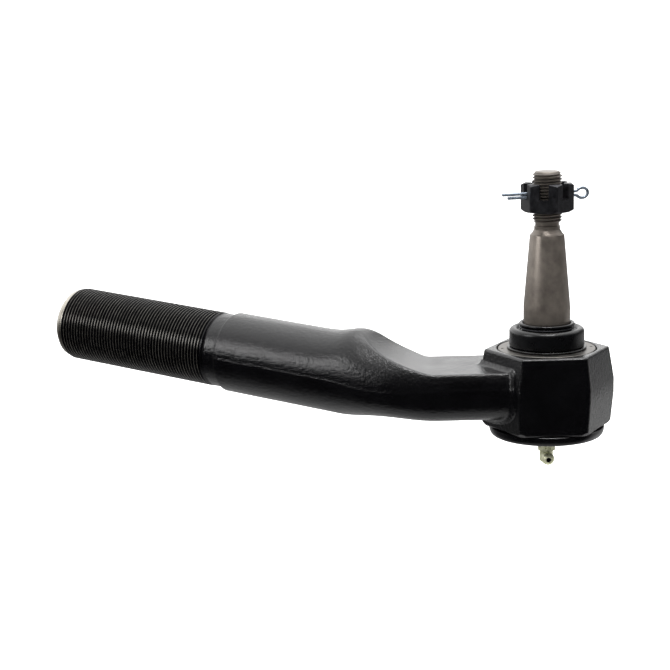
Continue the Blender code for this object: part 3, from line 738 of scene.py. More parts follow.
class NeckRoute:
    """Position, heading and section of the neck and shank at a distance from the ball."""

    RAMP_DELAY = 3.5 * MM
    CREST_DELAY = 3.0 * MM
    RAMP_CORNER = 0.1
    CROWN_SHARE = 1.15
    NECK_SQUARENESS = 2.7
    SHANK_EDGE = 0.5 * MM
    SHOULDER_BEVEL = 1.5 * MM
    SHOULDER_LEAD = 1.1 * MM

    def __init__(self, sizes):
        self.s = sizes
        self.radius = sizes.bend_lead / math.tan(sizes.bend_angle / 2)
        self.start = sizes.bend_distance - sizes.bend_lead
        self.straight = self.start + self.radius * sizes.bend_angle
        self.finish = self.straight + sizes.ramp_end - sizes.bend_lead

    def distance_at(self, along_shank):
        """Route distance of a point along the shank's axis."""
        return self.straight + along_shank * math.cos(self.s.rise_angle) - self.s.bend_lead

    def plan(self, distance):
        """Place and heading of the route in plan: straight, bend, straight."""
        heading = min(max((distance - self.start) / self.radius, 0.0), self.s.bend_angle)
        before = min(distance, self.start)
        after = max(distance - self.straight, 0.0)
        x = -before - self.radius * math.sin(heading) - after * math.cos(heading)
        y = self.radius * (1 - math.cos(heading)) + after * math.sin(heading)
        return x, y, heading

    def section(self, distance, count):
        """Offsets (across, up), the section's centre height and how far up the ramp it is."""
        s = self.s
        x, y, heading = self.plan(distance)
        along = (x + s.bend_distance) * -math.cos(s.bend_angle) + y * math.sin(s.bend_angle)
        axis = s.shank_height + along * math.tan(s.rise_angle)
        ramp = smooth_step((distance - s.ramp_start) / (self.finish - s.ramp_start))
        radius = self.shank_radius_at(distance)
        foot = s.ramp_start + self.RAMP_DELAY
        climb = soft_ramp((distance - foot) / s.ramp_length, self.RAMP_CORNER)
        top = mix(s.neck_top, axis + radius, climb)
        bottom = mix(s.neck_bottom, axis - radius, ramp) + 4 * s.underside_rise * ramp * (1 - ramp)
        half_width = mix(s.neck_half_width, radius, ramp)
        centre = mix(0.0, axis, ramp)
        crest = (distance - foot - self.CREST_DELAY - s.ramp_length) / s.crest_width
        hump = s.crest_rise * math.exp(-crest ** 2)
        top += hump
        crown = mix(s.neck_half_width * self.CROWN_SHARE, radius, ramp) + hump
        square = mix(self.NECK_SQUARENESS, 2.0, ramp)
        edge = mix(s.neck_edge, self.SHANK_EDGE, ramp)
        points = []
        for index in range(count):
            angle = 2 * math.pi * index / count
            side, up = math.cos(angle), math.sin(angle)
            if up >= 0:
                across = half_width * side
                height = soft_min(centre + crown * up, top, edge)
            else:
                across = half_width * math.copysign(abs(side) ** (2 / square), side)
                height = centre - (centre - bottom) * abs(up) ** (2 / square)
            points.append([across, height])
        return points, centre, ramp, (x, y, heading)

    def shank_radius_at(self, distance):
        s = self.s
        along = (distance - self.straight + s.bend_lead) / math.cos(s.rise_angle)
        fall = smooth_step((along - s.shoulder + self.SHOULDER_LEAD) / self.SHOULDER_BEVEL)
        return mix(s.shank_radius, s.relief_radius, fall)


def neck_stations(route, sizes):
    """Distances of the sections: close at the housing and the shoulder, wide on the shank."""
    shoulder = route.distance_at(sizes.shoulder)
    spans = [
        (sizes.corner_middle + 8 * MM, 0.55 * MM), (route.finish + 2 * MM, 1.1 * MM),
        (shoulder - 2 * MM, 2.2 * MM),
    ]
    stations = []
    place = 15 * MM
    for limit, step in spans:
        while place < limit:
            stations.append(place)
            place += step
    place = shoulder - 1.4 * MM
    while place < shoulder + 1.2 * MM:
        stations.append(place)
        place += 0.2 * MM
    return stations + [
        shoulder + 2.4 * MM, route.distance_at(sizes.thread_start + 0.6 * MM),
    ]


def forged_neck(sizes):
    """A grid bent along the route, with fillets to the hexagon and the forging's parting line."""
    route = NeckRoute(sizes)
    stations = neck_stations(route, sizes)
    count = 208
    parting_height, parting_rise, parting_width = 4.5 * MM, 0.22 * MM, 0.7 * MM
    fade, waviness, waves_per_metre = 4 * MM, 0.05 * MM, 90
    forging_end = route.distance_at(sizes.shoulder) - fade
    rings = []
    for distance in stations:
        points, centre, ramp, (x, y, heading) = route.section(distance, count)
        placed = []
        forged = 1.0 - smooth_step((distance - forging_end) / fade)
        for index, (across, height) in enumerate(points):
            before, after = points[index - 1], points[(index + 1) % count]
            normal = Vector((after[1] - before[1], before[0] - after[0]))
            normal = normal.normalized() if normal.length > 0 else Vector((0, 1))
            grow = 0.0
            gap = -x * HEX_COS + abs(across) / 2 - apothem_at(sizes, height)
            if gap < sizes.fillet:
                rest = sizes.fillet - max(gap, 0.0)
                grow += sizes.fillet - math.sqrt(sizes.fillet ** 2 - rest ** 2)
            line = height - mix(parting_height, centre, ramp)
            grow += forged * parting_rise * math.exp(-(line / parting_width) ** 2)
            spot = Vector((x, across, height)) * waves_per_metre
            grow += forged * waviness * noise.noise(spot)
            across += normal[0] * grow
            height += normal[1] * grow
            lean = (height - centre) * math.tan(sizes.rise_angle) * ramp
            placed.append(Vector((
                x + across * math.sin(heading) + lean * math.cos(heading),
                y + across * math.cos(heading) - lean * math.sin(heading),
                height,
            )))
        rings.append(placed)
    shape = bmesh.new()
    rows = len(stations)
    bmesh.ops.create_grid(shape, x_segments=rows - 1, y_segments=count, size=0.5)
    for vert in shape.verts:
        row = round((vert.co.x + 0.5) * (rows - 1))
        column = round((vert.co.y + 0.5) * count) % count
        vert.co = rings[row][column]
    bmesh.ops.remove_doubles(shape, verts=shape.verts, dist=WELD)
    close_holes(shape)
    return shape


def forged_housing(sizes):
    """The hexagon grown from its bottom face, turned at its corners and bored out."""
    shape = bmesh.new()
    bmesh.ops.create_circle(
        shape, cap_ends=True, segments=6, radius=sizes.corner_bottom,
        matrix=Matrix.Translation((0, 0, sizes.bottom)) @ Matrix.Rotation(math.pi / 6, 4, "Z"),
    )
    face = shape.faces[:][0]
    base = face
    for height, corner in hexagon_levels(sizes)[1:]:
        made = bmesh.ops.extrude_face_region(shape, geom=[face])
        for vert in new_verts(made):
            vert.co = (*(vert.co.xy.normalized() * corner), height)
        below = face
        face = next(item for item in made["geom"] if isinstance(item, bmesh.types.BMFace))
        if below is not base and below.is_valid:
            shape.faces.remove(below)
    bmesh.ops.remove_doubles(shape, verts=shape.verts, dist=WELD)
    close_holes(shape)
    round_edges(shape, sharp_edges(shape, 25), sizes.edge, 4)
    outside = sizes.corner_middle + 2 * MM
    low = sizes.bottom - 1 * MM
    turned = lathe([
        (outside, sizes.bottom + outside - sizes.turned_radius), (outside, low),
        (sizes.turned_radius - 1 * MM, low),
    ], 192)
    lip = 0.35 * MM
    floor = sizes.top - sizes.recess_depth
    above = sizes.top + 2 * MM
    socket = lathe([
        (0.0, above), (sizes.recess_radius + lip + 2 * MM, above),
        (sizes.recess_radius, sizes.top - lip),
        (sizes.recess_radius, floor), (sizes.throat_high, floor),
        (sizes.throat_low, sizes.socket_roof), (sizes.socket_radius, sizes.socket_roof),
        (sizes.socket_radius, sizes.bottom - 2 * MM), (0.0, sizes.bottom - 2 * MM),
    ], 192)
    return carve(shape, [("DIFFERENCE", turned), ("DIFFERENCE", socket)])


def threaded_shank(sizes):
    """The shank's thread, which grows out of the relief band and runs into the bevel."""
    pitch = sizes.thread_pitch
    minor = sizes.thread_radius - 0.56 * pitch
    shape = thread_sleeve(sizes.thread_radius, minor, pitch, sizes.thread_turns + 1, 112)
    full = sizes.thread_turns * pitch
    run_in = 1.5 * pitch
    crest = sizes.thread_radius - 0.02 * MM
    for vert in shape.verts:
        radius = vert.co.xy.length
        if radius < WELD:
            continue
        if vert.co.z < run_in:
            run = min(max(vert.co.z / run_in, 0.0), 1.0)
            floor = mix(sizes.relief_radius - 0.05 * MM, minor, run)
            limit = mix(sizes.relief_radius + 0.02 * MM, sizes.thread_radius, run)
            vert.co.xy *= min(max(radius, floor), limit) / radius
        elif vert.co.z > full - 0.1 * MM:
            limit = sizes.thread_radius - (vert.co.z - full) * 0.35
            vert.co.xy *= min(radius, limit) / radius
    # Crest faces take the lighter crest finish: rubbed coat and a painted highlight along each
    # turn.
    for face in shape.faces:
        if min(vert.co.xy.length for vert in face.verts) > crest:
            face.material_index = 1
    shape.transform(shank_matrix(sizes) @ Matrix.Translation((0, 0, sizes.thread_start)))
    return shape


def bevelled_end(sizes):
    """The bare turned nose of the shank beyond its thread."""
    start = sizes.thread_start + sizes.thread_turns * sizes.thread_pitch
    end = start + sizes.end_length
    face = sizes.thread_radius - sizes.end_depth
    band = sizes.thread_radius - 0.75 * MM
    shape = lathe([
        (0.0, end), (face - 6 * MM, end), (face - 0.5 * MM, end),
        (face + 0.1 * MM, end - 0.25 * MM), (band - 0.35 * MM, end - 2.3 * MM),
        (band, end - 3.4 * MM), (band, start + 0.4 * MM),
        (band - 1.25 * MM, start - 1 * MM), (0.0, start - 1 * MM),
    ], 160)
    shape.transform(shank_matrix(sizes))
    return shape


class TIEROD_OT_forged_body(bpy.types.Operator):
    """Build the coated housing, neck, threaded shank and bare bevelled end"""

    bl_idname = "tierod.forged_body"
    bl_label = "Forged Body"

    def execute(self, context):
        sizes = context.scene.tie_rod_body
        housing = forged_housing(sizes)
        made = piece("forged_housing", housing, ["coat"], "housing", ("forged_body",),
                     25)
        keep_flats(made, 20 * MM ** 2)
        piece("forged_neck", forged_neck(sizes), ["coat"], "housing", (), 50)
        piece("shank_thread", threaded_shank(sizes), ["smooth_coat", "crest"], "housing", (),
              30)
        piece("shank_end_bevel", bevelled_end(sizes), ["bare"], "housing", (),
              30)
        return {"FINISHED"}


# ---- socket stack, cover and fitting ----

class TIEROD_OT_socket_pieces(bpy.types.Operator):
    """Give the pieces inside the socket and the small seals their finishes"""

    bl_idname = "tierod.socket_pieces"
    bl_label = "Socket Pieces"

    def execute(self, context):
        finishes = {
            "upper_race": "acetal", "lower_race": "acetal", "preload_spring": "spring",
            "spring_shim": "spring", "cover_o_ring": "rubber", "plate_seal": "rubber",
            "fitting_washer": "spring", "fitting_check_ball": "spring",
            "fitting_check_spring": "spring",
        }
        for node, finish in finishes.items():
            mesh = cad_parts[node].data
            mesh.materials.clear()
            mesh.materials.append(finish_of(finish))
        return {"FINISHED"}


class TIEROD_OT_end_cover(bpy.types.Operator):
    """Build the round cover under the housing with its boss for the grease fitting"""

    bl_idname = "tierod.end_cover"
    bl_label = "End Cover"

    def execute(self, context):
        sizes = context.scene.tie_rod_body
        top, boss = top_of("end_cover"), bottom_of("end_cover")
        flange_top = sizes.bottom - 0.08 * MM
        rounding_top = flange_top - 0.9 * MM
        dome = boss + 3.3 * MM
        spigot = sizes.socket_radius - 0.3 * MM
        groove, half_groove = spigot - 1.6 * MM, 0.8 * MM
        middle = (top + flange_top) / 2
        rim, rounding = sizes.cover_radius, 2.2 * MM
        bore, well, well_floor = 3.0 * MM, 10.8 * MM, top - 2.5 * MM
        profile = [
            (spigot, top), (spigot, middle + half_groove), (groove, middle + half_groove),
            (groove, middle - half_groove), (spigot, middle - half_groove), (spigot, flange_top),
            (rim - 0.2 * MM, flange_top), (rim, flange_top - 0.2 * MM), (rim, rounding_top),
        ]
        for step in range(1, 9):
            turn = math.radians(11.25 * step)
            profile.append((
                rim - rounding * (1 - math.cos(turn)), mix(rounding_top, dome, math.sin(turn)),
            ))
        profile += [(9.4 * MM, dome), (8.0 * MM, dome - 0.3 * MM), (7.0 * MM, dome - 1.2 * MM)]
        profile += arc((6.5 * MM, boss + 0.5 * MM), 0.5 * MM, 0, -90, 4)
        profile += [(bore, boss), (bore, well_floor), (well, well_floor), (13.0 * MM, top)]
        piece("cover_disc", lathe(profile, 160), ["smooth_coat"], "housing", ("end_cover",),
              28)
        return {"FINISHED"}


def fitting_hexagon(bottom, top):
    """An 8 mm hexagon with its corners turned off at both ends."""
    corner = 4.0 * MM / HEX_COS
    slope = 0.9 * MM
    limit = lathe([
        (0.0, top), (corner - slope, top), (corner, top - slope / 2),
        (corner, bottom + slope / 2), (corner - slope, bottom), (0.0, bottom),
    ], 64)
    return carve(prism(6, corner, bottom, top), [("INTERSECT", limit)])


def fitting_head(reach, radius, mouth):
    """The ball-ended nipple, made along +Z with its zero on the fitting's axis."""
    neck, collar = 2.25 * MM, 2.6 * MM
    profile = [(0.0, mouth), (1.35 * MM, mouth)]
    profile += arc((0.0, reach), radius, 60, -48, 16)
    profile += [(neck, reach - 2.7 * MM), (neck, reach - 3.6 * MM), (collar, reach - 4.4 * MM)]
    profile += [(collar, 0.0), (0.0, 0.0)]
    return lathe(profile, 64)


def fitting_bore(mouth, bore):
    """The flared mouth, its throat and the bore behind it."""
    return lathe([
        (0.0, mouth + 1 * MM), (1.35 * MM, mouth + 0.2 * MM), (0.95 * MM, mouth - 0.3 * MM),
        (0.8 * MM, mouth - 1.0 * MM), (bore, mouth - 1.4 * MM), (bore, -bore), (0.0, -bore),
    ], 48)


class TIEROD_OT_grease_fitting(bpy.types.Operator):
    """Build the elbow grease fitting with its hexagon, head and bore"""

    bl_idname = "tierod.grease_fitting"
    bl_label = "Grease Fitting"

    def execute(self, context):
        bottom, top = bottom_of("grease_fitting"), top_of("grease_fitting")
        hex_top = bottom_of("end_cover") - 1.1 * MM
        hex_bottom = hex_top - 4.3 * MM
        thread, elbow, bend = 2.7 * MM, 3.3 * MM, 1.2 * MM
        stem = lathe([
            (0.0, top), (thread - 0.3 * MM, top), (thread, top - 0.3 * MM),
            (thread, hex_bottom + 1 * MM), (elbow, hex_bottom + 0.4 * MM), (elbow, bottom + bend),
            *arc((elbow - bend, bottom + bend), bend, 0, -90, 5), (0.0, bottom),
        ], 64)
        reach, radius, bore_radius = 6.0 * MM, 3.1 * MM, 1.3 * MM
        head_z = bottom + radius
        mouth = reach + math.sqrt(radius ** 2 - (1.6 * MM) ** 2)
        place = Matrix.Translation((0, 0, head_z)) @ Matrix.Rotation(math.pi / 2, 4, "X")
        head = fitting_head(reach, radius, mouth)
        head.transform(place)
        bore = fitting_bore(mouth, bore_radius)
        bore.transform(place)
        riser_radius, riser_top = 0.7 * MM, top + 1 * MM
        riser = lathe([
            (0.0, riser_top), (riser_radius, riser_top), (riser_radius, head_z), (0.0, head_z),
        ], 32)
        body = carve(stem, [
            ("UNION", fitting_hexagon(hex_bottom, hex_top)), ("UNION", head),
            ("DIFFERENCE", bore), ("DIFFERENCE", riser),
        ])
        # Faces inside the bore take the black oxide finish: painted shade down the bore.
        for face in body.faces:
            centre = face.calc_center_median()
            inside = math.hypot(centre.x, centre.z - head_z) < bore_radius
            if inside and 0.02 * MM - mouth < centre.y < 0:
                face.material_index = 1
        piece("grease_nipple", body, ["yellow_zinc", "nut"], "housing", ("grease_fitting",),
              28)
        return {"FINISHED"}


# ---- top plate and boot ----

class TIEROD_OT_top_plate(bpy.types.Operator):
    """Build the retaining plate with its spanner holes and the ring that holds the boot"""

    bl_idname = "tierod.top_plate"
    bl_label = "Top Plate"

    def execute(self, context):
        self.plate()
        self.base_ring()
        return {"FINISHED"}

    def plate(self):
        top, bottom = top_of("retaining_plate"), bottom_of("retaining_plate")
        radius = reach_of("retaining_plate")
        bore, chamfer = 16.6 * MM, 0.25 * MM
        plate = lathe([
            (bore + chamfer, top), (radius - chamfer, top), (radius, top - chamfer),
            (radius, bottom + chamfer), (radius - chamfer, bottom), (bore, bottom),
            (bore, top - chamfer),
        ], 192)
        hole_radius, hole_place = 0.7 * MM, 21.4 * MM
        holes = []
        for side in (1, -1):
            hole = lathe([
                (0.0, top + 1 * MM), (hole_radius + 1.05 * MM, top + 1 * MM),
                (hole_radius, top - 0.05 * MM), (hole_radius, top - 0.65 * MM),
                (0.0, top - 0.95 * MM),
            ], 32)
            hole.transform(Matrix.Translation((side * hole_place, 0, 0)))
            holes.append(("DIFFERENCE", hole))
        piece("top_plate", carve(plate, holes), ["plate"], "housing", ("retaining_plate",),
              28)

    def base_ring(self):
        low, high = bottom_of("boot_base_ring"), top_of("boot_base_ring")
        half = (high - low) / 2
        inner, edge_centre = 16.9 * MM, reach_of("boot_base_ring") - half
        profile = [(inner, high)]
        profile += arc((edge_centre, low + half), half, 90, -90, 8)
        profile.append((inner, low))
        piece("boot_flange_ring", lathe(profile, 160), ["rubber"], "housing",
              ("boot_base_ring",), 28)


class TIEROD_OT_boot(bpy.types.Operator):
    """Build the rubber boot in two halves, with its lip and its ring"""

    bl_idname = "tierod.boot"
    bl_label = "Boot"
    WALL = 1.0 * MM

    def execute(self, context):
        bottom = bottom_of("boot_skirt")
        split = bottom + 3.5 * MM
        lower = self.lower_half(split)
        upper = self.upper_half(split)
        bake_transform(lower)
        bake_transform(upper)
        self.lip()
        self.garter_ring()
        return {"FINISHED"}

    def lower_half(self, split):
        bottom, radius = bottom_of("boot_skirt"), reach_of("boot_skirt")
        inner, below = radius - self.WALL, split - 1.2 * MM
        shape = lathe([
            (radius, split), (radius, below), (radius, bottom + 1.1 * MM),
            (radius, bottom + 0.35 * MM), (radius - 0.35 * MM, bottom), (inner, bottom),
            (inner, below), (inner, split),
        ], 160)
        tall = [e for e in shape.edges if abs(e.verts[0].co.z - e.verts[1].co.z) > 0.5 * MM]
        bmesh.ops.subdivide_edges(shape, edges=tall, cuts=2, use_grid_fill=True)
        return piece("boot_skirt_lower", shape, ["rubber"], None, ("boot_skirt",), 40)

    def upper_half(self, split):
        """The wall, its rolled rim and the inward fold that reaches under the collar."""
        top, radius = top_of("boot_skirt"), reach_of("boot_skirt")
        inner, rim, fold = radius - self.WALL, 2.1 * MM, bottom_of("boot_collar")
        profile = [(radius, split)]
        profile += [(radius, mix(split, top - rim, share)) for share in (0.25, 0.5, 0.75)]
        profile += arc((radius - rim, top - rim), rim, 0, 150, 12)
        profile += [
            (across * MM, fold - drop * MM) for across, drop in (
                (14.3, 0.1), (13.75, 0.65), (13.1, 0.85), (12.5, 0.65), (12.1, 0.25),
                (11.6, 0.2), (11.55, 1.2), (13.0, 1.9), (15.2, 1.8),
            )
        ]
        profile += [(inner, fold - 2.6 * MM), (inner, split + 0.6 * MM), (inner, split)]
        shape = lathe(list(reversed(profile)), 160)
        return piece("boot_skirt_upper", shape, ["rubber"], None, (), 40)

    def lip(self):
        low, high = bottom_of("boot_collar"), top_of("boot_collar")
        bore, stem, roll = 11.45 * MM, 12.25 * MM, 0.75 * MM
        profile = [(bore, high - 0.9 * MM), (bore + 0.35 * MM, high - 0.25 * MM)]
        profile += arc((reach_of("boot_collar") - roll, high - roll), roll, 100, -40, 10)
        profile += [(stem + 0.15 * MM, high - 1.75 * MM), (stem, high - 2.4 * MM)]
        profile += [(stem, low + 0.2 * MM), (stem - 0.2 * MM, low), (bore, low)]
        piece("boot_lip", lathe(profile, 160), ["rubber"], "boot_neck", ("boot_collar",),
              40)

    def garter_ring(self):
        low = bottom_of("boot_top_band")
        wire = (top_of("boot_top_band") - low) / 2
        centre = (reach_of("boot_top_band") - wire, low + wire)
        ring = lathe(arc(centre, wire, 90, -240, 11), 160)
        piece("boot_garter_ring", ring, ["nut"], "boot_neck", ("boot_top_band",),
              60)


# ---- ball stud, nut and pin ----

def pin_direction(sizes):
    """Direction of the cotter pin, from its legs to its eye."""
    return Vector((math.cos(sizes.nut_turn), math.sin(sizes.nut_turn), 0))


def pin_height():
    return (bottom_of("cotter_pin") + top_of("cotter_pin")) / 2


def stud_blank(sizes, core, thread_bottom):
    """The turned stud from the flat under its ball to a plain core inside the thread."""
    top = top_of("ball_stud")
    taper_top = sizes.taper_start + sizes.taper_length
    ball_top = math.degrees(math.acos(sizes.neck_radius / sizes.ball_radius))
    ball_low = math.degrees(math.asin(sizes.ball_flat / sizes.ball_radius))
    end_radius, stem = sizes.taper_end_radius, core - 0.4 * MM
    profile = [
        (0.0, top - 4 * MM), (stem, top - 4 * MM), (stem, thread_bottom - 0.2 * MM),
        (sizes.undercut_radius, thread_bottom - 0.5 * MM),
        (sizes.undercut_radius, thread_bottom - sizes.undercut_length + 0.5 * MM),
        (sizes.undercut_radius + 0.35 * MM, thread_bottom - sizes.undercut_length),
        (end_radius - 0.75 * MM, taper_top + 0.5 * MM),
        (end_radius - 0.2 * MM, taper_top + 0.12 * MM),
        (end_radius + 0.03 * MM, taper_top - 0.35 * MM),
        (sizes.taper_radius - 0.08 * MM, sizes.taper_start + 0.5 * MM),
        (sizes.taper_radius - 0.01 * MM, sizes.taper_start - 0.3 * MM),
        (sizes.taper_radius, sizes.flare_top + 0.4 * MM),
        (sizes.taper_radius - 0.25 * MM, sizes.flare_top - 0.2 * MM),
        (sizes.neck_radius + 0.3 * MM, sizes.neck_top + 0.4 * MM),
        (sizes.neck_radius, sizes.neck_top - 0.4 * MM),
    ]
    profile += arc((0.0, 0.0), sizes.ball_radius, ball_top, ball_low, 40)
    profile.append((0.0, sizes.ball_flat))
    return lathe(profile, 160)


def stud_thread(sizes, core):
    """The stud's thread from height 0, chamfered at its top and run out at its foot."""
    turns = int(sizes.thread_length / sizes.thread_pitch)
    thread = thread_sleeve(sizes.thread_radius, core, sizes.thread_pitch, turns, 96)
    height = turns * sizes.thread_pitch
    for vert in thread.verts:
        radius = vert.co.xy.length
        if radius < WELD:
            continue
        near_end = sizes.thread_radius - (vert.co.z - (height - sizes.chamfer))
        near_start = sizes.undercut_radius + vert.co.z * 1.1
        limit = min(sizes.thread_radius, max(near_end, 0.0), max(near_start, core * 0.98))
        vert.co.xy *= min(radius, limit) / radius
    # Flanks and roots take the darker root finish: painted shade in the thread's grooves.
    for face in thread.faces:
        centre = face.calc_center_median()
        if core - 0.1 * MM < centre.xy.length < sizes.thread_radius - 0.12 * MM:
            if max(abs(centre.z), abs(centre.z - height)) < height - 0.01 * MM:
                face.material_index = 1
    thread.transform(Matrix.Translation((0, 0, top_of("ball_stud") - height)))
    return thread


def ball_stud(sizes):
    core = sizes.thread_radius - 0.61 * sizes.thread_pitch
    body = stud_blank(sizes, core, top_of("ball_stud") - sizes.thread_length)
    thread = stud_thread(sizes, core)
    hole = prism(48, sizes.hole_radius, -10 * MM, 10 * MM)
    turn = Vector((0, 0, 1)).rotation_difference(pin_direction(sizes)).to_matrix().to_4x4()
    hole.transform(Matrix.Translation((0, 0, pin_height())) @ turn)
    return carve(body, [("UNION", thread), ("DIFFERENCE", hole)])


class TIEROD_OT_ball_stud(bpy.types.Operator):
    """Build the ball stud with its ground taper, undercut, thread and pin hole"""

    bl_idname = "tierod.ball_stud"
    bl_label = "Ball Stud"

    def execute(self, context):
        shape = ball_stud(context.scene.tie_rod_stud)
        piece("tapered_stud", shape, ["stud", "root"], "stud", ("ball_stud",),
              28)
        return {"FINISHED"}


class TIEROD_OT_castle_nut(bpy.types.Operator):
    """Build the castle nut with turned chamfers and round-bottomed slots"""

    bl_idname = "tierod.castle_nut"
    bl_label = "Castle Nut"

    def execute(self, context):
        sizes = context.scene.tie_rod_stud
        low, high = bottom_of("castle_nut"), top_of("castle_nut")
        corner = sizes.nut_flats / 2 / HEX_COS
        flat = corner - sizes.nut_chamfer
        drop = sizes.nut_chamfer * math.tan(math.radians(30))
        bore = sizes.thread_radius + 0.3 * MM
        nut = prism(6, corner, low, high, sizes.nut_turn)
        limit = lathe([
            (0.0, high), (flat, high), (corner, high - drop), (corner, low + drop), (flat, low),
            (0.0, low),
        ], 160)
        hole = lathe([
            (0.0, high + 1 * MM), (bore + 1.9 * MM, high + 1 * MM), (bore, high - 0.9 * MM),
            (bore, low + 0.9 * MM), (bore + 1.9 * MM, low - 1 * MM), (0.0, low - 1 * MM),
        ], 96)
        tools = [("INTERSECT", limit), ("DIFFERENCE", hole)]
        floor = high - sizes.slot_depth
        half = sizes.slot_width / 2
        tall = high + 2 * MM - floor
        for index in range(3):
            turn = sizes.nut_turn + math.pi * index / 3
            slot = block((30 * MM, sizes.slot_width, tall), (0, 0, floor + tall / 2), turn)
            bottoms = [
                e for e in slot.edges
                if max(v.co.z for v in e.verts) < floor + WELD and e.calc_length() > 10 * MM
            ]
            round_edges(slot, bottoms, half * 0.45, 5)
            tools.append(("DIFFERENCE", slot))
        shape = carve(nut, tools)
        bmesh.ops.dissolve_limit(
            shape, angle_limit=math.radians(0.5), verts=shape.verts, edges=shape.edges,
        )
        made = piece("slotted_nut", shape, ["nut"], "stud", ("castle_nut",),
                     30)
        soft = made.modifiers.new("soft_edges", "BEVEL")
        soft.width = 0.22 * MM
        soft.segments = 2
        soft.limit_method = "ANGLE"
        soft.angle_limit = math.radians(32)
        soft.harden_normals = True
        return {"FINISHED"}


def pin_route(sizes):
    """The wire's centre line in plan: out along one leg, round the eye and back."""
    gap, eye_steps = 0.85 * MM, 40
    throat = sizes.pin_eye_centre - sizes.pin_eye_length * 1.5
    long_leg = [-sizes.pin_long_leg, -sizes.pin_long_leg * 0.5, 0.0, throat]
    points = [Vector((place, gap)) for place in long_leg]
    for index in range(eye_steps + 1):
        angle = math.radians(150 - 300 * index / eye_steps)
        points.append(Vector((
            sizes.pin_eye_centre + sizes.pin_eye_length * math.cos(angle),
            sizes.pin_eye_height * math.sin(angle),
        )))
    return points + [Vector((place, -gap)) for place in (throat, 0.0, -sizes.pin_short_leg)]


def folded_wire(points, radius, sides):
    """A round wire grown from one ring, moved and turned from point to point."""
    shape = bmesh.new()
    made = bmesh.ops.create_circle(shape, cap_ends=False, segments=sides, radius=radius)
    ring = list(made["verts"])
    first = points[0]
    place = Matrix.Translation((first.x, 0, first.y)) @ Matrix.Rotation(math.pi / 2, 4, "Y")
    bmesh.ops.transform(shape, matrix=place, verts=ring)
    bmesh.ops.contextual_create(shape, geom=shape.edges[:])
    heading = Vector((1.0, 0.0))
    for index in range(1, len(points)):
        here, before = points[index], points[index - 1]
        after = points[min(index + 1, len(points) - 1)]
        new_heading = (here - before).normalized() + (after - here).normalized()
        new_heading.normalize()
        edges = [e for e in shape.edges if e.verts[0] in ring and e.verts[1] in ring]
        ring = new_verts(bmesh.ops.extrude_edge_only(shape, edges=edges))
        turn = -math.atan2(
            heading.x * new_heading.y - heading.y * new_heading.x, heading.dot(new_heading),
        )
        move = (
            Matrix.Translation((here.x, 0, here.y)) @ Matrix.Rotation(turn, 4, "Y")
            @ Matrix.Translation((-before.x, 0, -before.y))
        )
        bmesh.ops.transform(shape, matrix=move, verts=ring)
        heading = new_heading
    last = [e for e in shape.edges if e.verts[0] in ring and e.verts[1] in ring]
    bmesh.ops.contextual_create(shape, geom=last)
    bmesh.ops.recalc_face_normals(shape, faces=shape.faces)
    return shape


class TIEROD_OT_cotter_pin(bpy.types.Operator):
    """Build the cotter pin from one wire folded at its eye"""

    bl_idname = "tierod.cotter_pin"
    bl_label = "Cotter Pin"

    def execute(self, context):
        sizes = context.scene.tie_rod_stud
        shape = folded_wire(pin_route(sizes), sizes.pin_wire, 20)
        turn = Matrix.Rotation(sizes.nut_turn, 4, "Z")
        shape.transform(Matrix.Translation((0, 0, pin_height())) @ turn)
        piece("split_pin", shape, ["zinc"], "split_pin", ("cotter_pin",), 50)
        return {"FINISHED"}


# ---- stage ----

CAMERA_PLACE = (-0.10821, -0.78499, 0.18848)
CAMERA_TURN = (1.3699, 0.0218, -0.0125)
CAMERA_LENS = 89.57


def eased(tree, source, start, end, low, high):
    """Passes smoothly from low to high while the source goes from start to end."""
    made = add_node(
        tree, "ShaderNodeMapRange", {"interpolation_type": "SMOOTHSTEP"},
        {"From Min": start, "From Max": end, "To Min": low, "To Max": high},
        {"Value": source},
    )
    return made.outputs["Result"]


def combined(tree, kind, first, second):
    made = add_node(tree, "ShaderNodeMath", {"operation": kind})
    tree.links.new(first, made.inputs[0])
    tree.links.new(second, made.inputs[1])
    return made.outputs["Value"]


def sky():
    """Bright above and behind, dark in front below the horizon, as in a product tent."""
    world = bpy.data.worlds.new("product_tent")
    world.use_nodes = True
    tree = world.node_tree
    tree.nodes.clear()
    direction = add_node(tree, "ShaderNodeTexCoord")
    parts = add_node(
        tree, "ShaderNodeSeparateXYZ", links={"Vector": direction.outputs["Generated"]},
    )
    ease = functools.partial(eased, tree)
    times = functools.partial(combined, tree, "MULTIPLY")
    plus = functools.partial(combined, tree, "ADD")
    across, back, up = (parts.outputs[name] for name in "XYZ")
    behind, before = ease(back, -0.15, 0.35, 0.0, 1.0), ease(back, -0.15, 0.35, 1.0, 0.0)
    above, below = ease(up, -0.02, 0.0, 0.0, 1.0), ease(up, -0.02, 0.0, 1.0, 0.0)
    front_sky = times(before, ease(up, 0.5, 0.85, 0.03, 1.6))
    right_sky = combined(
        tree, "MAXIMUM", ease(across, 0.3, 0.6, 1.0, 0.12), ease(up, 0.35, 0.55, 0.0, 1.0),
    )
    back_sky = times(times(behind, right_sky), ease(up, 0.2, 0.9, 1.6, 1.9))
    front_floor = times(before, ease(up, -0.95, -0.7, 0.65, 0.02))
    right_floor = times(ease(across, 0.4, 0.7, 0.0, 1.0), ease(up, -0.5, -0.1, 1.1, 0.35))
    mid_floor = times(ease(across, 0.4, 0.7, 1.0, 0.0), ease(across, -0.8, -0.3, 0.1, 0.55))
    back_floor = times(behind, plus(right_floor, mid_floor))
    total = plus(
        times(above, plus(front_sky, back_sky)), times(below, plus(front_floor, back_floor)),
    )
    light = add_node(
        tree, "ShaderNodeBackground", values={"Color": (1.0, 1.0, 1.0, 1.0)},
        links={"Strength": total},
    )
    add_node(tree, "ShaderNodeOutputWorld", links={"Surface": light.outputs["Background"]})
    bpy.context.scene.world = world


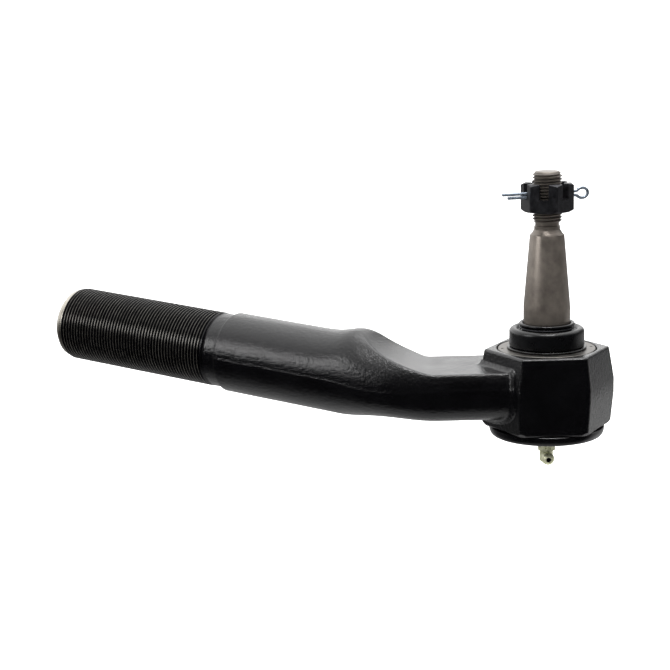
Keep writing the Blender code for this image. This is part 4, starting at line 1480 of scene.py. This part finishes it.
def softbox(name, place, aim, width, height, power):
    """A rectangular lamp in metres and watts, turned toward a point."""
    data = bpy.data.lights.new(name, "AREA")
    data.shape = "RECTANGLE"
    data.size = width
    data.size_y = height
    data.energy = power
    made = bpy.data.objects.new(name, data)
    made.location = place
    made.rotation_mode = "QUATERNION"
    made.rotation_quaternion = (Vector(aim) - Vector(place)).to_track_quat("-Z", "Y")
    bpy.context.scene.collection.objects.link(made)


class TIEROD_OT_stage(bpy.types.Operator):
    """Set the pale floor, the soft lights and the camera"""

    bl_idname = "tierod.stage"
    bl_label = "Stage"

    def execute(self, context):
        self.floor()
        sky()
        softbox("left_softbox", (-1.3, -0.5, 0.56), (-0.15, 0.0, 0.0), 0.5, 0.42, 6.0)
        softbox("front_top_softbox", (0.0, -0.42, 1.0), (-0.08, 0.0, 0.0), 0.5, 0.12, 6.0)
        softbox("top_softbox", (0.1, 0.25, 0.9), (0.0, 0.0, 0.0), 0.7, 0.5, 3.0)
        self.camera()
        context.scene.view_settings.view_transform = "Standard"
        return {"FINISHED"}

    def floor(self):
        """A sheet that reaches past the horizon, low enough to leave the part in clear air."""
        shape = bmesh.new()
        bmesh.ops.create_grid(shape, x_segments=1, y_segments=1, size=300.0)
        bmesh.ops.translate(shape, verts=shape.verts, vec=(0, 0, cad_low.z - 0.16))
        mesh = bpy.data.meshes.new("pale_floor")
        shape.to_mesh(mesh)
        shape.free()
        mesh.materials.append(white_paper())
        floor = bpy.data.objects.new("pale_floor", mesh)
        floor.visible_glossy = False
        bpy.context.scene.collection.objects.link(floor)

    def camera(self):
        data = bpy.data.cameras.new("camera")
        data.lens = CAMERA_LENS
        data.sensor_width = 36.0
        data.clip_start = 0.01
        data.clip_end = 1000.0
        camera = bpy.data.objects.new("camera", data)
        camera.location = CAMERA_PLACE
        camera.rotation_euler = CAMERA_TURN
        bpy.context.scene.collection.objects.link(camera)
        bpy.context.scene.camera = camera


class TIEROD_PT_panel(bpy.types.Panel):
    """Lists the tie rod end's pieces in the order in which they are built"""

    bl_idname = "TIEROD_PT_panel"
    bl_label = "Tie Rod End"
    bl_space_type = "VIEW_3D"
    bl_region_type = "UI"
    bl_category = "Tie Rod End"

    def draw(self, context):
        scene, layout = context.scene, self.layout
        for operator in OPERATORS:
            layout.operator(operator.bl_idname)
        for group in (scene.tie_rod_body, scene.tie_rod_stud, scene.tie_rod_colours):
            box = layout.box()
            for name in type(group).__annotations__:
                box.prop(group, name)


GROUPS = (TieRodBodySizes, TieRodStudSizes, TieRodColours)
OPERATORS = (
    TIEROD_OT_forged_body, TIEROD_OT_socket_pieces, TIEROD_OT_end_cover, TIEROD_OT_grease_fitting,
    TIEROD_OT_top_plate, TIEROD_OT_boot, TIEROD_OT_ball_stud, TIEROD_OT_castle_nut,
    TIEROD_OT_cotter_pin, TIEROD_OT_stage,
)


def register():
    for item in (*GROUPS, *OPERATORS, TIEROD_PT_panel):
        bpy.utils.register_class(item)
    bpy.types.Scene.tie_rod_body = bpy.props.PointerProperty(type=TieRodBodySizes)
    bpy.types.Scene.tie_rod_stud = bpy.props.PointerProperty(type=TieRodStudSizes)
    bpy.types.Scene.tie_rod_colours = bpy.props.PointerProperty(type=TieRodColours)


def unregister():
    del bpy.types.Scene.tie_rod_colours
    del bpy.types.Scene.tie_rod_stud
    del bpy.types.Scene.tie_rod_body
    for item in reversed((*GROUPS, *OPERATORS, TIEROD_PT_panel)):
        bpy.utils.unregister_class(item)


def main():
    register()
    bpy.ops.tierod.forged_body()
    bpy.ops.tierod.socket_pieces()
    bpy.ops.tierod.end_cover()
    bpy.ops.tierod.grease_fitting()
    bpy.ops.tierod.top_plate()
    bpy.ops.tierod.boot()
    bpy.ops.tierod.ball_stud()
    bpy.ops.tierod.castle_nut()
    bpy.ops.tierod.cotter_pin()
    bpy.ops.tierod.stage()


if __name__ == "__main__":
    main()
